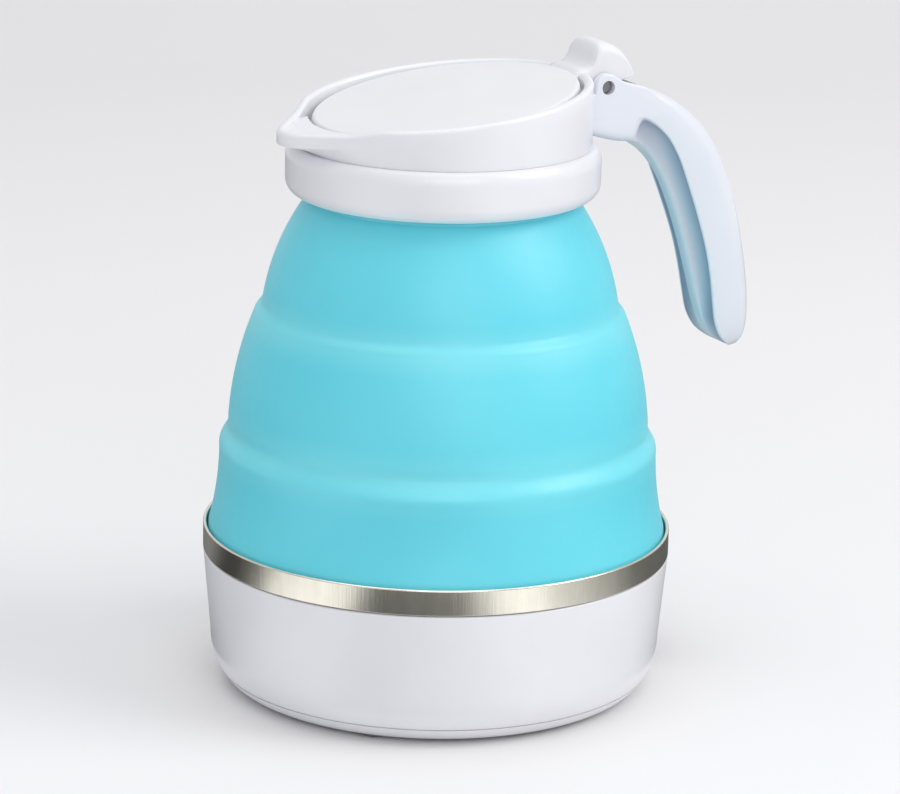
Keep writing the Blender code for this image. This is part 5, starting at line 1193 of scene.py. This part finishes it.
def make_stage():
    n = Nodes("pale_floor")
    coords = n.coordinates()
    n.feed(Base_Color=n.mixed(n.noise(coords, 3.0, 2.0), (0.828, 0.823, 0.823), (0.845, 0.839, 0.839)))
    n.sockets(Roughness=0.9, Specular_IOR_Level=0.1)
    forward = Vector(CAMERA_DIRECTION)
    forward.z = 0.0
    forward.normalize()
    sideways = Vector((forward.y, -forward.x, 0.0))
    profile = [(STAGE_FRONT, TABLE_HEIGHT)]
    profile += [
        (STAGE_BACK - STAGE_SWEEP + STAGE_SWEEP * sin(a), TABLE_HEIGHT + STAGE_SWEEP * (1 - cos(a)))
        for a in (pi / 2 * i / 24 for i in range(25))
    ]
    profile.append((STAGE_BACK, STAGE_TOP))
    bm = bmesh.new()
    rows = []
    for depth, height in profile:
        middle = forward * depth
        middle.z = height
        rows.append([bm.verts.new(middle + sideways * side) for side in (-STAGE_HALF, STAGE_HALF)])
    for first, second in zip(rows, rows[1:]):
        bm.faces.new((first[0], first[1], second[1], second[0]))
    mesh = mesh_from(bm, "studio_sweep")
    stage = place("studio_sweep", mesh, n.material, helpers)


def make_cards():
    """Pale and dark cards laid in a ring on the floor, seen only in the gloss of metal and plastic."""
    n = Nodes("reflector_cards")
    x, y, _ = n.split(n.coordinates())
    turn = n.math("DIVIDE", n.math("ADD", n.math("ARCTAN2", y, x), pi), 2 * pi)
    ramp = n.add("ShaderNodeValToRGB")
    n.link(turn, ramp.inputs["Fac"])
    stops = sorted((((angle + 180.0) % 360.0) / 360.0, tone) for angle, tone in CARD_TONES)
    while len(ramp.color_ramp.elements) < len(stops):
        ramp.color_ramp.elements.new(0.5)
    for element, (position, tone) in zip(ramp.color_ramp.elements, stops):
        element.position = position
        element.color = (tone, tone, tone, 1.0)
    n.feed(Base_Color=ramp.outputs["Color"])
    n.sockets(Roughness=1.0, Specular_IOR_Level=0.0)
    bm = bmesh.new()
    turns = [2 * pi * i / TURN_STEPS for i in range(TURN_STEPS)]
    rows = [
        [bm.verts.new((r * cos(a), r * sin(a), TABLE_HEIGHT + GAP)) for a in turns]
        for r in (CARD_INNER, CARD_OUTER)
    ]
    for i in range(TURN_STEPS):
        j = (i + 1) % TURN_STEPS
        bm.faces.new((rows[0][i], rows[1][i], rows[1][j], rows[0][j]))
    cards = place("reflector_cards", mesh_from(bm, "reflector_cards"), n.material, helpers)
    cards.visible_camera = False
    cards.visible_diffuse = False
    cards.visible_shadow = False
    cards.visible_transmission = False


def area_light(name, location, target, size, power, colour=(1.0, 1.0, 1.0)):
    light = bpy.data.lights.new(name, "AREA")
    light.shape = "RECTANGLE"
    light.size, light.size_y = size
    light.energy = power
    light.color = colour
    obj = bpy.data.objects.new(name, light)
    bpy.context.scene.collection.objects.link(obj)
    obj.location = location
    obj.rotation_euler = (Vector(target) - Vector(location)).to_track_quat("-Z", "Y").to_euler()


def make_lights():
    world = bpy.data.worlds.new("studio")
    bpy.context.scene.world = world
    world.use_nodes = True
    world.node_tree.nodes["Background"].inputs["Color"].default_value = (0.95, 0.96, 1.0, 1.0)
    world.node_tree.nodes["Background"].inputs["Strength"].default_value = 0.62
    middle = (0.0, 0.0, 0.09)
    area_light("key_right", (1.05, -0.85, 1.15), middle, (0.9, 1.2), 11.2, (1.0, 0.99, 0.99))
    area_light("top_soft", (-0.1, 0.1, 1.7), middle, (1.6, 1.6), 9.0)
    area_light("fill_front", (-0.42, -1.25, 0.72), middle, (0.9, 0.7), 3.4, (0.98, 0.99, 1.0))
    area_light("fill_left", (-1.3, -0.6, 0.7), middle, (0.5, 1.0), 0.4, (0.97, 0.98, 1.0))


def make_camera():
    data = bpy.data.cameras.new("photo_view")
    camera = bpy.data.objects.new("photo_view", data)
    bpy.context.scene.collection.objects.link(camera)
    data.lens = CAMERA_LENS
    data.sensor_width = 36.0
    data.clip_start = 0.01
    data.clip_end = 50.0
    forward = Vector(CAMERA_DIRECTION).normalized()
    level = forward.cross(Vector((0.0, 0.0, 1.0))).normalized()
    upright = level.cross(forward)
    right = level * cos(CAMERA_ROLL) + upright * sin(CAMERA_ROLL)
    up = upright * cos(CAMERA_ROLL) - level * sin(CAMERA_ROLL)
    turn = Matrix((right, up, -forward)).transposed().to_4x4()
    camera.matrix_world = Matrix.Translation(CAMERA_PLACE) @ turn
    bpy.context.scene.camera = camera


def main():
    dress_nodes()
    make_base()
    make_cover()
    make_band()
    make_silicone()
    make_pan()
    make_collar()
    make_rim()
    make_handle()
    make_lid()
    soften_nodes()
    make_stage()
    make_cards()
    make_lights()
    make_camera()
    bpy.context.scene.view_settings.view_transform = "Standard"


main()
